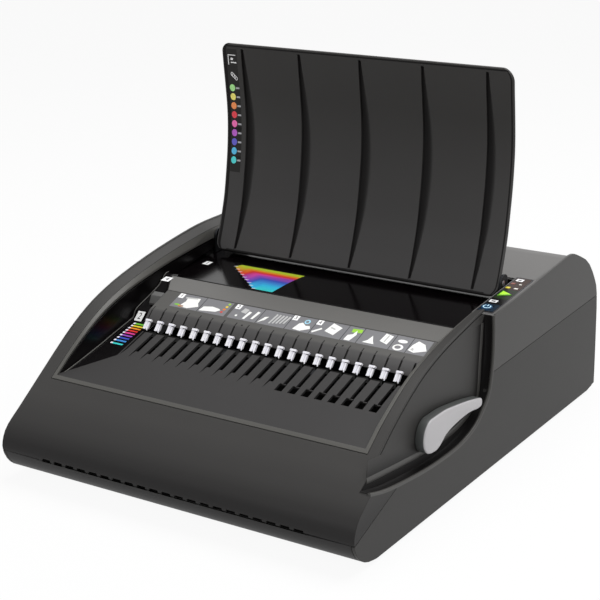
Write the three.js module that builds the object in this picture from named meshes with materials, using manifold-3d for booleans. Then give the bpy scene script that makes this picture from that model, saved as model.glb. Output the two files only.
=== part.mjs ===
// Electric comb binding machine, built piece by piece as it goes together on a bench.
// Millimetres. +X is the user's right, +Y the back, +Z up.
// The origin lies on the table under the middle of the casing.
import * as THREE from 'three';
import { mergeVertices } from 'three/addons/utils/BufferGeometryUtils.js';
import Module from 'manifold-3d';

const wasm = await Module();
wasm.setup();

// Driving dimensions: casing
const casingWidth = 389.5;
const casingDepth = 534.6;
const casingHeight = 183.5;      // table to the highest point of the left rail
const floorGap = 3;              // daylight between the table and the casing
const wall = 3;
const seam = 0.4;                // visible joint between two shells
const fit = 0.3;                 // smallest gap between neighbouring pieces
const overrun = 5;               // how far a cutter passes the face that it opens
const leftRail = 19.5;
const rightRail = 24.75;
const recessDepth = 10.75;       // how far the lever recess lies inside the right face
const lipWidth = 4.2;
const lipThickness = 2.5;

// Driving dimensions: working area
const combPitch = 14.2875;       // 9/16 inch, the pitch of plastic combs
const lastHookInset = 16.9;      // last hook to the right wall of the opening
const ledgeRoom = 40;            // least width kept for the ledge, left of the hooks
const traySlope = THREE.MathUtils.degToRad(17);
const deckSlope = THREE.MathUtils.degToRad(4.9);
const hookWidth = 7.4;
const hookTravel = 28;
const throatWidth = 20;
const paperGap = 4.6;
const coverLength = 212;         // hinge axis to the upper edge
const coverThickness = 3.6;
const coverClearance = 3;        // cover end to the side wall
const hingeRadius = 3;

// Driving dimensions: mechanism
const frameThickness = 2;
const leverReach = 103;
const leverBulb = 16;
const leverShaftRadius = 5;
const rackModule = 2;
const leverPinionTeeth = 17;
const driveShaftRadius = 7;
const eccentricRadius = 13;
const eccentricThrow = 6;
const gearModule = 1.5;
const driveGearTeeth = 60;
const motorPinionTeeth = 12;
const motorRadius = 28;
const motorLength = 84;
const drawerDepth = 52;
const drawerHeight = 38;
const drawerShort = 51.5;        // drawer's end to the right side

// Materials, one colour and finish for each kind of surface
function finish(color, roughness, metalness = 0) {
  return () => new THREE.MeshStandardMaterial({ color, roughness, metalness });
}
const charcoalPlastic = finish(0x4a4949, 0.45);
const paleRail = finish(0x62625f, 0.42);
const glossBlack = finish(0x0f0c0d, 0.15);
const coverPlastic = finish(0x3b3939, 0.5);
const greyMoulding = finish(0x6b6b69, 0.5);
const leverGrey = finish(0xb0aeb0, 0.4);
const hookWhite = finish(0xefeef5, 0.35);
const steel = finish(0x9a9da1, 0.35, 1);
const darkSteel = finish(0x55585c, 0.4, 1);
const rubber = finish(0x161616, 0.9);
const boardGreen = finish(0x1f5136, 0.6);
const nylon = finish(0xd8d6cc, 0.55);
const blueLight = finish(0x1f6fc0, 0.3);
const greenLight = finish(0x7fd02e, 0.3);
const amberLight = finish(0xe0c020, 0.3);
const redLight = finish(0xc0402a, 0.3);

const machine = new THREE.Group();

// Solids

const weldDistance = 1e-4;       // corners closer than this are one corner
const smallSides = 14;           // sides of a thin pin, a rod and a wide drum
const roundSides = 18;
const wideSides = 36;

// A closed three.js geometry as a solid that can be joined and cut.
function solid(geometry) {
  const bare = geometry.clone();
  bare.deleteAttribute('normal');
  bare.deleteAttribute('uv');
  const merged = mergeVertices(bare, weldDistance);
  const triVerts = new Uint32Array(merged.index.array);
  const vertProperties = merged.attributes.position.array;
  const mesh = new wasm.Mesh({ numProp: 3, vertProperties, triVerts });
  return new wasm.Manifold(mesh);
}

function join(...solids) {
  return solids.reduce((sum, next) => sum.add(next));
}

function cut(body, ...tools) {
  return tools.reduce((rest, tool) => rest.subtract(tool), body);
}

// Puts a solid into the scene as a named mesh.
function place(name, body, material, parent = machine) {
  const { vertProperties, triVerts } = body.getMesh();
  const geometry = new THREE.BufferGeometry();
  geometry.setAttribute('position', new THREE.BufferAttribute(vertProperties, 3));
  geometry.setIndex(new THREE.BufferAttribute(triVerts, 1));
  geometry.computeVertexNormals();
  const mesh = new THREE.Mesh(geometry, material());
  mesh.name = name;
  parent.add(mesh);
  return mesh;
}

function outline(points) {
  return new THREE.Shape(points.map(([a, b]) => new THREE.Vector2(a, b)));
}

function extruded(points, length) {
  return new THREE.ExtrudeGeometry(outline(points), { depth: length, bevelEnabled: false });
}

// An outline in (y, z) carried along X from x0 to x1.
function alongX(points, x0, x1) {
  const turned = new THREE.Matrix4().makeBasis(
    new THREE.Vector3(0, 1, 0), new THREE.Vector3(0, 0, 1), new THREE.Vector3(1, 0, 0));
  return solid(extruded(points, x1 - x0).applyMatrix4(turned).translate(x0, 0, 0));
}

// An outline in (x, z) carried along Y from y0 to y1.
function alongY(points, y0, y1) {
  return solid(extruded(points, y1 - y0).rotateX(Math.PI / 2).translate(0, y1, 0));
}

// An outline in (x, y) carried along Z from z0 to z1.
function alongZ(points, z0, z1) {
  return solid(extruded(points, z1 - z0).translate(0, 0, z0));
}

function block(x0, x1, y0, y1, z0, z1) {
  const box = new THREE.BoxGeometry(x1 - x0, y1 - y0, z1 - z0);
  return solid(box.translate((x0 + x1) / 2, (y0 + y1) / 2, (z0 + z1) / 2));
}

function rodX(radius, x0, x1, y, z, sides = roundSides) {
  const rod = new THREE.CylinderGeometry(radius, radius, x1 - x0, sides);
  return solid(rod.rotateZ(Math.PI / 2).translate((x0 + x1) / 2, y, z));
}

function rodZ(radius, z0, z1, x, y, sides = roundSides) {
  const rod = new THREE.CylinderGeometry(radius, radius, z1 - z0, sides);
  return solid(rod.rotateX(Math.PI / 2).translate(x, y, (z0 + z1) / 2));
}

// A closed ring of points at each station along X, skinned into one solid.
function loftX(stations) {
  const count = stations[0].ring.length;
  const first = stations[0].ring.map(([y, z]) => new THREE.Vector2(y, z));
  if (THREE.ShapeUtils.isClockWise(first)) {
    return loftX(stations.map(({ x, ring }) => ({ x, ring: [...ring].reverse() })));
  }
  const positions = stations.flatMap(({ x, ring }) => ring.flatMap(([y, z]) => [x, y, z]));
  const faces = [];
  for (let s = 0; s + 1 < stations.length; s++) {
    for (let i = 0; i < count; i++) {
      const a = s * count + i;
      const b = s * count + (i + 1) % count;
      faces.push(a, b, b + count, a, b + count, a + count);
    }
  }
  for (const s of [0, stations.length - 1]) {
    const ring = stations[s].ring.map(([y, z]) => new THREE.Vector2(y, z));
    for (const [a, b, c] of THREE.ShapeUtils.triangulateShape(ring, [])) {
      const cap = s === 0 ? [a, c, b] : [a, b, c];
      faces.push(...cap.map((i) => i + s * count));
    }
  }
  const geometry = new THREE.BufferGeometry();
  geometry.setAttribute('position', new THREE.Float32BufferAttribute(positions, 3));
  geometry.setIndex(faces);
  return solid(geometry);
}

// Lines in the (y, z) plane: points of [y, z], and how they are smoothed, moved and measured.

function smooth(points, steps) {
  const curve = new THREE.SplineCurve(points.map(([a, b]) => new THREE.Vector2(a, b)));
  return curve.getPoints(steps).map(({ x, y }) => [x, y]);
}

// The line moved sideways, to its left as it runs.
function offset(points, distance) {
  return points.map((point, i) => {
    const before = points[Math.max(i - 1, 0)];
    const after = points[Math.min(i + 1, points.length - 1)];
    const left = new THREE.Vector2(before[1] - after[1], after[0] - before[0]).setLength(distance);
    return [point[0] + left.x, point[1] + left.y];
  });
}

// The outline of a sheet whose one face is the line, to its left where the thickness is positive.
function band(points, thickness) {
  return [...points, ...offset(points, thickness).reverse()];
}

function heightAt(points, y) {
  const next = points.findIndex((point, i) => i > 0 && point[0] >= y && points[i - 1][0] < y);
  if (next < 0) return y <= points[0][0] ? points[0][1] : points[points.length - 1][1];
  const [y0, z0] = points[next - 1];
  const [y1, z1] = points[next];
  return z0 + (z1 - z0) * (y - y0) / (y1 - y0);
}

function fromShares(shares) {
  return shares.map(([a, b]) => [a * casingDepth, b * casingHeight]);
}

// Casing lines

const halfWidth = casingWidth / 2;
const openingLeft = -halfWidth + leftRail;
const openingRight = halfWidth - rightRail;
const recessX = halfWidth - recessDepth;

// As many hooks as fit: 21 on this machine, one for each ring of an A4 comb.
const hookRoom = openingRight - openingLeft - lastHookInset - ledgeRoom;
const hookCount = Math.floor(hookRoom / combPitch) + 1;

const archSteps = 38;
const rearSteps = 22;
const tailSteps = 8;
const swooshSteps = 26;

// The left side's line from under the nose, round it and up the rail.
const archShares = [
  [-0.46, 0.037], [-0.4845, 0.084], [-0.499, 0.155], [-0.4995, 0.215], [-0.486, 0.285], [-0.448, 0.367],
  [-0.3915, 0.489], [-0.3115, 0.657], [-0.257, 0.75], [-0.212, 0.806], [-0.15, 0.862], [-0.0537, 0.924],
  [0.047, 0.971], [0.117, 0.994], [0.186, 1],
];
const noseUndersideShare = -0.427;
const casingBottom = [noseUndersideShare * casingDepth, floorGap];
const arch = smooth([casingBottom, ...fromShares(archShares)], archSteps);
const railEnd = arch[arch.length - 1][0];

// The rear of the left rail, from the end of the fascia down to the deck.
const railTailShares = [[0.186, 1], [0.24, 0.996], [0.3, 0.976], [0.352, 0.942], [0.374, 0.926]];
const railTail = smooth(fromShares(railTailShares), tailSteps);

// The deck from the controls to the back, and the back down to the table.
const deckFrontShares = [-0.0097, 0.871];
const [deckFront, deckFrontZ] = [deckFrontShares[0] * casingDepth, deckFrontShares[1] * casingHeight];
const deckHeight = (y) => deckFrontZ + (y - deckFront) * Math.tan(deckSlope);
const rearShares = [
  [0.316, 0.957], [0.345, 0.955], [0.374, 0.926], [0.428, 0.85], [0.4686, 0.7226], [0.487, 0.609],
  [0.4945, 0.376], [0.5, 0.06], [0.4975, 0.037], [0.48, 0.0245],
];
const rearFootShare = 0.463;
const rearLine = smooth([...fromShares(rearShares), [rearFootShare * casingDepth, floorGap]], rearSteps);

// The swept edge of the right side, from the nose under the lever and up to the controls.
const swooshShares = [
  [-0.45, 0.366], [-0.41, 0.3365], [-0.365, 0.314], [-0.283, 0.287], [-0.2105, 0.275], [-0.134, 0.279],
  [-0.0756, 0.317], [-0.0406, 0.3826], [-0.018, 0.455], [-0.0088, 0.566], [-0.0055, 0.68],
  [-0.0065, 0.79], deckFrontShares,
];
const swoosh = smooth(fromShares(swooshShares), swooshSteps);

// The joints between the shells, seen on the sides.
const noseSeamShares = [[-0.4965, 0.1646], [-0.371, 0.297]];
const [noseSeamFront, noseSeamRear] = fromShares(noseSeamShares);
const sideSeamShares = [[-0.0045, 0.5624], [0.5, 0.6033]];
const [sideSeamFront, sideSeamRear] = fromShares(sideSeamShares);
const leftSeamTurnShares = [-0.12, 0.5552];
const leftSeamTurn = [leftSeamTurnShares[0] * casingDepth, leftSeamTurnShares[1] * casingHeight];
const beyond = casingDepth;      // cutters for whole sides reach this far

// Towards the back both rails fall away to the inside, the right one more than the left.
const rimDrop = 12;
const rimDropStartShare = -0.346;
const rimDropEndShare = 0.094;
const rimFrontShare = -0.3865;
const rimFront = rimFrontShare * casingDepth;
const rimDropPower = 0.7;        // below 1, so the rail falls away early
function dip(y) {
  const share = (y / casingDepth - rimDropStartShare) / (rimDropEndShare - rimDropStartShare);
  return rimDrop * Math.pow(THREE.MathUtils.clamp(share, 0, 1), rimDropPower);
}
const leftBandShare = 0.4;
const leftRimShare = 1;
const rightRimShare = 1.5;
const rightBandShare = 1.15;
const rightEdgeShare = 0.8;
const noseTip = arch.reduce((tip, point, i) => (point[0] < arch[tip][0] ? i : tip), 0);
const railTop = arch.slice(noseTip);
const dipped = (share) => arch.map(([y, z]) => [y, z - share * dip(y)]);

// The rail's line between two places along the depth, with a share of the dip taken off.
function railBetween(y0, y1, share) {
  const inside = railTop.map(([y]) => y).filter((y) => y > y0 && y < y1);
  return [y0, ...inside, y1].map((y) => [y, heightAt(railTop, y) - share * dip(y)]);
}

// Side outlines, and the regions that divide them into shells.

const lineAt = ([y0, z0], [y1, z1], y) => z0 + (z1 - z0) * (y - y0) / (y1 - y0);
const tailEnd = railTail[railTail.length - 1];
const leftOutline = [...arch, ...railTail.slice(1), ...rearLine.filter(([, z]) => z < tailEnd[1])];
const swooshCorner = swoosh[0];
const noseBelowCorner = arch.slice(0, arch.findIndex(([, z]) => z > swooshCorner[1]));
const rightOutline = [...noseBelowCorner, ...swoosh, ...rearLine];
const noseSeamMeet = noseSeamRear[0] + wall;
const noseSeamHeight = (y) => lineAt(noseSeamFront, noseSeamRear, y);
const sideSeamHeight = (y) => lineAt(sideSeamFront, sideSeamRear, y);

function above(line, gap) {
  const raised = line.map(([y, z]) => [y, z + gap]);
  return [...raised, [raised[raised.length - 1][0], beyond], [raised[0][0], beyond]];
}
function below(line, gap) {
  const lowered = line.map(([y, z]) => [y, z - gap]);
  return [...lowered, [lowered[lowered.length - 1][0], -beyond], [lowered[0][0], -beyond]];
}
const onNoseSeam = (y) => [y, noseSeamHeight(y)];
const onSideSeam = (y) => [y, sideSeamHeight(y)];
const leftSeam = [onNoseSeam(-beyond), noseSeamFront, leftSeamTurn, onSideSeam(beyond)];
const noseSeam = [onNoseSeam(-beyond), onNoseSeam(noseSeamMeet)];
const rearSeam = [onSideSeam(noseSeamMeet), onSideSeam(beyond)];
const allWidth = (points) => alongX(points, -beyond, beyond);

const leftSide = alongX(leftOutline, -halfWidth, -halfWidth + wall);
const rightFlange = alongX(band(swoosh, -wall), recessX + fit, halfWidth - wall / 2);
const rightSide = join(alongX(rightOutline, halfWidth - wall, halfWidth), rightFlange);

// Front fascia: nose and both rails in one moulding, open in the middle for the tray.

const lipLeft = openingLeft - lipWidth;
const lipRight = openingRight + lipWidth;
const lipFront = rimFront - lipWidth;
const ventWidth = 9;
const ventHeight = 2.6;
const ventPitch = 14;
const ventHeightShare = 0.168;

function vents() {
  const z = ventHeightShare * casingHeight;
  const front = -casingDepth / 2;
  return Array.from({ length: hookCount }, (_, i) => {
    const x = (i - (hookCount - 1) / 2) * ventPitch;
    return block(x - ventWidth / 2, x + ventWidth / 2, front - overrun, front + wall * 3,
      z - ventHeight / 2, z + ventHeight / 2);
  });
}

function frontFascia() {
  const skin = loftX([
    { x: -halfWidth, ring: band(arch, -wall) },
    { x: lipLeft, ring: band(dipped(leftBandShare), -wall) },
    { x: lipRight, ring: band(dipped(rightBandShare), -wall) },
    { x: recessX, ring: band(dipped(rightEdgeShare), -wall) },
    { x: halfWidth, ring: band(dipped(rightEdgeShare), -wall) },
  ]);
  const opening = block(lipLeft, lipRight, lipFront, beyond, 0, beyond);
  const recess = block(recessX, beyond, swooshCorner[0], beyond, 0, beyond);
  const controls = block(openingRight, beyond, deckFront - seam, beyond, 0, beyond);
  const underSeam = allWidth(below(noseSeam, -seam / 2));
  const ends = join(
    block(-beyond, -halfWidth + wall + fit, -beyond, beyond, -beyond, beyond),
    block(halfWidth - wall - fit, beyond, -beyond, beyond, -beyond, beyond));
  const nose = cut(skin, opening, recess, controls, underSeam.intersect(ends), ...vents());
  const leftSkirt = leftSide.intersect(allWidth(above(leftSeam, seam / 2)))
    .subtract(block(-beyond, 0, railEnd, beyond, -beyond, beyond));
  const rightSkirt = rightSide.intersect(allWidth(above(noseSeam, seam / 2)));
  return join(nose, leftSkirt, rightSkirt);
}
place('front_fascia', frontFascia(), charcoalPlastic);

// Rear cover: deck, back and the upper sides, with the strip that carries the controls.

const deckInset = 3;
const deckPanelRear = railEnd + seam;
const stripRearShare = 0.182;
const stripRear = stripRearShare * casingDepth;
const stripLeft = openingRight + fit;
const panelMargin = 1;
const panelEdge = 5;
const panelLeft = stripLeft + panelMargin;
const panelRight = halfWidth - panelEdge;
const panelThickness = 2;
const panelFront = deckFront + panelEdge;
const panelRear = stripRear - panelMargin;
const windowLedge = 1;           // what the control panel rests on, all round
const backLine = rearLine.filter(([, z]) => z > casingHeight / 4);
const backFoot = [casingDepth / 2 - deckInset, floorGap];
const deckPath = [...offset([[deckPanelRear, deckHeight(deckPanelRear)], ...backLine], -deckInset), backFoot];

// A rectangle square to the deck: between two places along it, grown at both ends, from n0 to n1 above it.
function deckBox(y0, y1, grow, n0, n1) {
  const [c, s] = [Math.cos(deckSlope), Math.sin(deckSlope)];
  const [a, b] = [(y0 - deckFront) / c - grow, (y1 - deckFront) / c + grow];
  const at = (along, n) => [deckFront + along * c - n * s, deckFrontZ + along * s + n * c];
  return [at(a, n0), at(b, n0), at(b, n1), at(a, n1)];
}

function rearCover() {
  const inner = halfWidth - wall / 2;
  const upper = allWidth(above(rearSeam, seam / 2));
  const skin = alongX(band(deckPath, -wall), -inner, inner);
  const railBand = alongX(band(railTail, -wall), -inner, openingLeft);
  const railStep = alongX([...railTail, [tailEnd[0], deckHeight(deckPanelRear) - deckInset - wall],
    [railEnd, deckHeight(railEnd) - deckInset - wall]], openingLeft - wall, openingLeft);
  const left = leftSide.intersect(allWidth(above(leftSeam, seam / 2)));
  const beforeDeck = block(-beyond, 0, -beyond, deckPanelRear, -beyond, beyond);
  const right = rightSide.intersect(upper);
  const strip = alongX(band([[deckFront, deckFrontZ], [stripRear, deckHeight(stripRear)]], -wall * 2),
    stripLeft, inner);
  const stripStep = alongX([[stripRear - wall, deckHeight(stripRear)], [stripRear, deckHeight(stripRear)],
    [stripRear + seam + wall, deckHeight(stripRear) - deckInset - wall],
    [stripRear - wall, deckHeight(stripRear) - deckInset - wall]], stripLeft, inner);
  const pocket = alongX(deckBox(panelFront, panelRear, fit, -(panelThickness + fit), overrun),
    panelLeft - fit, panelRight + fit);
  const window = alongX(deckBox(panelFront, panelRear, -windowLedge, -casingHeight / 2, overrun),
    panelLeft + windowLedge, panelRight - windowLedge);
  return join(skin.intersect(upper), railBand.subtract(beforeDeck), railStep.subtract(beforeDeck),
    left.subtract(beforeDeck), right, strip, stripStep).subtract(join(pocket, window));
}
place('rear_cover', rearCover(), charcoalPlastic);

// Base housing: floor, back and the sides below the joints.

const drawerShare = -0.1165;
const drawerFront = drawerShare * casingDepth;
const drawerRear = drawerFront + drawerDepth;
const floorTop = floorGap + wall;
const drawerBottom = floorTop + fit;
const drawerTop = drawerBottom + drawerHeight;
const inletWidth = 28;
const inletHeight = 22;
const inletShares = [-0.32, 0.19];
const [inletX, inletZ] = [inletShares[0] * casingWidth, inletShares[1] * casingHeight];
const footRadius = 10;
const footStem = 3;
const footShares = [[-0.385, -0.374], [0.385, -0.374], [-0.385, 0.411], [0.385, 0.411]];
const feet = footShares.map(([a, b]) => [a * casingWidth, b * casingDepth]);
const postRadius = 3;
const postHeight = 8;
const boardWidth = 90;
const boardDepth = 80;
const boardShares = [-0.27, 0.355];
const [boardX, boardY] = [boardShares[0] * casingWidth, boardShares[1] * casingDepth];
const boardCorners = [[-1, -1], [1, -1], [-1, 1], [1, 1]].map(([a, b]) =>
  [boardX + a * (boardWidth / 2 - postRadius * 2), boardY + b * (boardDepth / 2 - postRadius * 2)]);

function baseHousing() {
  const inner = halfWidth - wall / 2;
  const lowerRear = allWidth(below(rearSeam, seam / 2));
  const left = leftSide.intersect(allWidth(below(leftSeam, seam / 2)));
  const right = rightSide.intersect(allWidth(below(rearSeam, seam / 2)))
    .add(rightSide.intersect(allWidth(below(noseSeam, seam / 2))));
  const floor = block(-inner, inner, casingBottom[0] + wall, backFoot[0] - wall / 2, floorGap, floorTop);
  const back = alongX(band(deckPath, -wall), -inner, inner).intersect(lowerRear);
  const drawerMouth = block(-beyond, 0, drawerFront - fit, drawerRear + fit,
    drawerBottom - fit / 2, drawerTop + fit);
  const inletHole = block(inletX - inletWidth / 2 - fit, inletX + inletWidth / 2 + fit, 0, beyond,
    inletZ - inletHeight / 2 - fit, inletZ + inletHeight / 2 + fit);
  const posts = boardCorners.map(([x, y]) =>
    rodZ(postRadius, floorTop - wall / 2, floorTop + postHeight, x, y, smallSides));
  const stemHoles = feet.map(([x, y]) => rodZ(footStem + fit, 0, floorTop + overrun, x, y));
  return cut(join(left, right, floor, back, ...posts), drawerMouth, inletHole, ...stemHoles);
}
place('base_housing', baseHousing(), charcoalPlastic);

// Lip round the opening: a pale strip let into the fascia.

function openingLip() {
  const start = lipFront + fit;
  const strip = (end, share) => band(railBetween(start, end, share), -lipThickness);
  const rightEnd = deckFront - seam;
  const left = loftX([
    { x: lipLeft + fit, ring: strip(railEnd, leftBandShare) },
    { x: openingLeft, ring: strip(railEnd, leftRimShare) },
  ]);
  const right = loftX([
    { x: openingRight, ring: strip(rightEnd, rightRimShare) },
    { x: lipRight - fit, ring: strip(rightEnd, rightBandShare) },
  ]);
  const front = alongX(strip(rimFront, 0), lipLeft + fit, lipRight - fit)
    .subtract(block(-beyond, beyond, rimFront, beyond, 0, beyond));
  return join(left, right, front);
}
place('opening_lip', openingLip(), paleRail);

// Gloss side walls of the opening.

const linerThickness = 2;
const linerBottomShares = [[0.186, 0.72], [-0.015, 0.72], [-0.075, 0.534], [-0.3, 0.5], [-0.378, 0.455]];
const linerInset = lipThickness + 4.5 * fit;
const leftFrame = openingLeft - linerThickness - fit;
const rightFrame = openingRight + linerThickness + fit;

function wallLiner(share, x0, x1, rear) {
  const rim = railBetween(rimFront + linerThickness, rear, share).map(([y, z]) => [y, z - linerInset]);
  const underStrip = [[deckFront + seam, deckFrontZ - wall * 2 - fit],
    [railEnd, deckHeight(railEnd) - wall * 2 - fit]];
  const top = rear < railEnd ? [...rim, ...underStrip] : rim;
  return alongX([...top, ...fromShares(linerBottomShares)], x0, x1);
}
place('left_wall_liner',
  wallLiner(leftRimShare, openingLeft - linerThickness, openingLeft, railEnd), glossBlack);
place('right_wall_liner',
  wallLiner(rightRimShare, openingRight, openingRight + linerThickness, deckFront - seam), glossBlack);

// Comb tray, in a group that leans back with it. In it x runs across, y up the slope, z out of the tray.

const hookRowShare = -0.2194;
const hookRowY = hookRowShare * casingDepth;
const trayDrop = 0.8;
const trayFrontZ = heightAt(railTop, rimFront) - trayDrop;
const hookFootZ = trayFrontZ + (hookRowY - rimFront) * Math.tan(traySlope);
const tray = new THREE.Group();
tray.position.set(0, hookRowY, hookFootZ);
tray.rotation.x = traySlope;
machine.add(tray);

const hookX = (i) => openingRight - lastHookInset - (hookCount - 1 - i) * combPitch;
const trayThickness = 2.5;
const trayMargin = 4.4;
const trayLeft = hookX(0) - trayMargin;
const trayRear = 9;
const trayFront = (rimFront + fit - hookRowY) / Math.cos(traySlope);
const trayShoulder = 45;
const traySkirt = 12;
const slotWidth = 4.2;
const slotLength = 31;
const slotRear = 3.2;
const notchWidth = 8.6;
const notchLength = 13.4;

function combTray() {
  const right = openingRight - fit;
  const left = openingLeft + fit;
  const plate = alongZ([[left, trayFront], [right, trayFront], [right, trayRear], [trayLeft, trayRear],
    [trayLeft, -trayShoulder], [left, trayFront + wall]], -trayThickness, 0);
  const skirt = block(trayLeft, trayLeft + wall / 2, -trayShoulder, trayRear, -traySkirt, -trayThickness / 2);
  const across = (i, width, from, to) =>
    block(hookX(i) - width / 2, hookX(i) + width / 2, from, to, -overrun, overrun);
  const slots = Array.from({ length: hookCount }, (_, i) => join(
    across(i, slotWidth, -slotLength - overrun / 2, slotRear),
    across(i, notchWidth, -slotLength - notchLength, -slotLength)));
  return cut(join(plate, skirt), ...slots);
}
place('comb_tray', combTray(), charcoalPlastic, tray);

// Hook rack: a steel bar under the tray, with a toothed rail near each end for the lever's pinions.

const leverPivotShare = [-0.2375, 0.4385];
const leverPivotY = leverPivotShare[0] * casingDepth;
const leverPivotZ = leverPivotShare[1] * casingHeight;
const pivotAcross = leverPivotY - hookRowY;
const pivotDown = leverPivotZ - hookFootZ;
const pivotS = pivotAcross * Math.cos(traySlope) + pivotDown * Math.sin(traySlope);
const pivotN = -pivotAcross * Math.sin(traySlope) + pivotDown * Math.cos(traySlope);
const leverPinionRadius = rackModule * leverPinionTeeth / 2;
const pitchLine = pivotN + leverPinionRadius;
const toothHeight = 0.8;         // of the module, above the pitch line
const toothDepth = 1.15;
const toothWidth = 0.4;          // of the pitch, at the pitch line
const flank = Math.tan(THREE.MathUtils.degToRad(20));
const hookThickness = 1.2;
const hookLean = 8.2;
const hookRise = 7.3;
const hookCap = 3.6;
const hookCapRise = 0.9;
const hookNotch = 1.4;
const neckWidth = 3;
const barThickness = 2;
const barTop = -6;
const barFront = -12;
const barRear = 6;
const toothedWidth = 7;
const toothedRailShares = [0.5, hookCount - 0.38];   // of the comb's pitch, from the first hook
const toothedRails = toothedRailShares.map((share) => hookX(0) + share * combPitch);
const teethAhead = 3;            // of the pinion, with the hooks at rest
const spareTeeth = 2;            // behind the last tooth in use
const rowBase = 1.8;             // thickness of the strip that a row of hooks stands on
const rowEnd = 2.6;              // strip past the middle of its outer hooks
const rowRear = 5;
const rowBottom = barTop + fit;
const rowNames = ['hooks_left', 'hooks_middle', 'hooks_right'];

function hook(x) {
  const half = hookWidth / 2;
  const line = [[0, hookThickness], [hookLean, hookRise], [hookLean + hookCap, hookRise + hookCapRise]];
  const blade = alongX(band(line, -hookThickness), x - half, x + half);
  const notch = block(x - hookNotch / 2, x + hookNotch / 2, -overrun, hookLean / 2, -overrun, hookRise);
  const neck = block(x - neckWidth / 2, x + neckWidth / 2, 0, hookThickness * 2, rowBottom, hookRise / 4);
  return join(blade.subtract(notch), neck);
}

function rackTooth(s) {
  const pitch = Math.PI * rackModule;
  const half = pitch * toothWidth / 2;
  const tip = pitchLine - toothHeight * rackModule;
  const root = pitchLine + toothDepth * rackModule;
  const rootHalf = half + toothDepth * rackModule * flank;
  const tipHalf = half - toothHeight * rackModule * flank;
  return [[s - rootHalf, root], [s - tipHalf, tip], [s + tipHalf, tip], [s + rootHalf, root]];
}

function toothedRail(x) {
  const pitch = Math.PI * rackModule;
  const root = pitchLine + toothDepth * rackModule;
  const teethBehind = Math.ceil(hookTravel / pitch) + spareTeeth;
  const [left, right] = [x - toothedWidth / 2, x + toothedWidth / 2];
  const rail = block(left, right, pivotS - (teethAhead + 1 / 2) * pitch,
    pivotS + (teethBehind + 1 / 2) * pitch, root - fit, barTop - barThickness / 2);
  const teeth = Array.from({ length: teethAhead + teethBehind + 1 }, (_, i) =>
    alongX(rackTooth(pivotS + (i - teethAhead) * pitch).map(([s, n]) => [s, n === root ? root + fit : n]),
      left, right));
  return join(rail, ...teeth);
}

function rackBar() {
  const left = trayLeft + wall / 2 + fit;
  const right = toothedRails[1] + toothedWidth / 2;
  const bar = block(left, right, barFront, barRear, barTop - barThickness, barTop);
  return join(bar, ...toothedRails.map(toothedRail));
}
place('rack_bar', rackBar(), steel, tray);

// Hooks: three white rows moulded on strips that sit on the bar, each hook reaching up through its slot.

function hookRow(first, last) {
  const strip = block(hookX(first) - rowEnd, hookX(last) + rowEnd, -rowRear / 2, rowRear,
    rowBottom, rowBottom + rowBase);
  const hooks = Array.from({ length: last - first + 1 }, (_, i) => hook(hookX(first + i)));
  return join(strip, ...hooks);
}
rowNames.forEach((name, i) => {
  const startOf = (row) => Math.round(row * hookCount / rowNames.length);
  place(name, hookRow(startOf(i), startOf(i + 1) - 1), hookWhite, tray);
});

// Guide plate: one folded sheet with a finger between each pair of hooks, a label field and the front wall
// of the throat.

const guideReach = 81;
const guideShares = [
  [0.115, 0.078], [0.238, 0.201], [0.62, 0.347], [0.632, 0.322], [0.965, 0.389], [1, 0.36],
];
const crestShares = [[0.62, 0.347], [0.974, 0.414]];
const guideThickness = 1.5;
const onGuide = ([a, b]) => [hookRowY + a * guideReach, hookFootZ + b * guideReach];
const guideLine = guideShares.map(onGuide);
const crestLine = crestShares.map(onGuide);
const throatFront = guideLine[guideLine.length - 1][0];
const throatRear = throatFront + throatWidth;
const dieHeight = 32;
const dieTopShare = 0.534;
const dieTop = dieTopShare * casingHeight;
const paperY = throatRear - paperGap / 2 + 2 * fit;
const dieRear = paperY - paperGap / 2;
const guideFront = paperY + paperGap / 2;
const guideOverhang = 6.4;       // past the tray, on the left
const guideLeft = trayLeft - guideOverhang;
const fingerSlot = 1.7;
const crestOverhang = 16;
const crestLeft = guideLeft - crestOverhang;

function guidePlate() {
  const right = openingRight - fit;
  const foot = [dieRear - guideThickness, dieTop + 3 * fit];
  const sheet = alongX(band([...guideLine, foot], -guideThickness), guideLeft, right);
  const slots = Array.from({ length: hookCount }, (_, i) => {
    const x = hookX(i) + combPitch / 2;
    return block(x - fingerSlot / 2, x + fingerSlot / 2, -beyond, guideLine[1][0],
      hookFootZ, hookFootZ + guideReach);
  });
  return cut(sheet, ...slots);
}
place('guide_plate', guidePlate(), greyMoulding);

function crestBar() {
  const lifted = crestLine.map(([y, z]) => [y + guideThickness, z]);
  const bar = alongX(band(lifted, -guideThickness), crestLeft, openingRight - fit);
  const plan = alongZ([[guideLeft, crestLine[0][0] - overrun], [beyond, crestLine[0][0] - overrun],
    [beyond, crestLine[1][0] + overrun], [crestLeft, crestLine[1][0] + overrun],
    [crestLeft, crestLine[1][0]], [guideLeft, crestLine[0][0]]], 0, casingHeight);
  return bar.intersect(plan);
}
place('crest_bar', crestBar(), greyMoulding);

// Deck panel behind the throat, folded down at the front and up to the rear deck.

const panelSheet = 2;
const deckPanelRise = 26.6;      // above the foot of the hooks
const deckPanelZ = hookFootZ + deckPanelRise;
const notchSize = 5;

const deckPanelHeight = (y) => deckPanelZ + (y - throatRear) * Math.tan(deckSlope);

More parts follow.
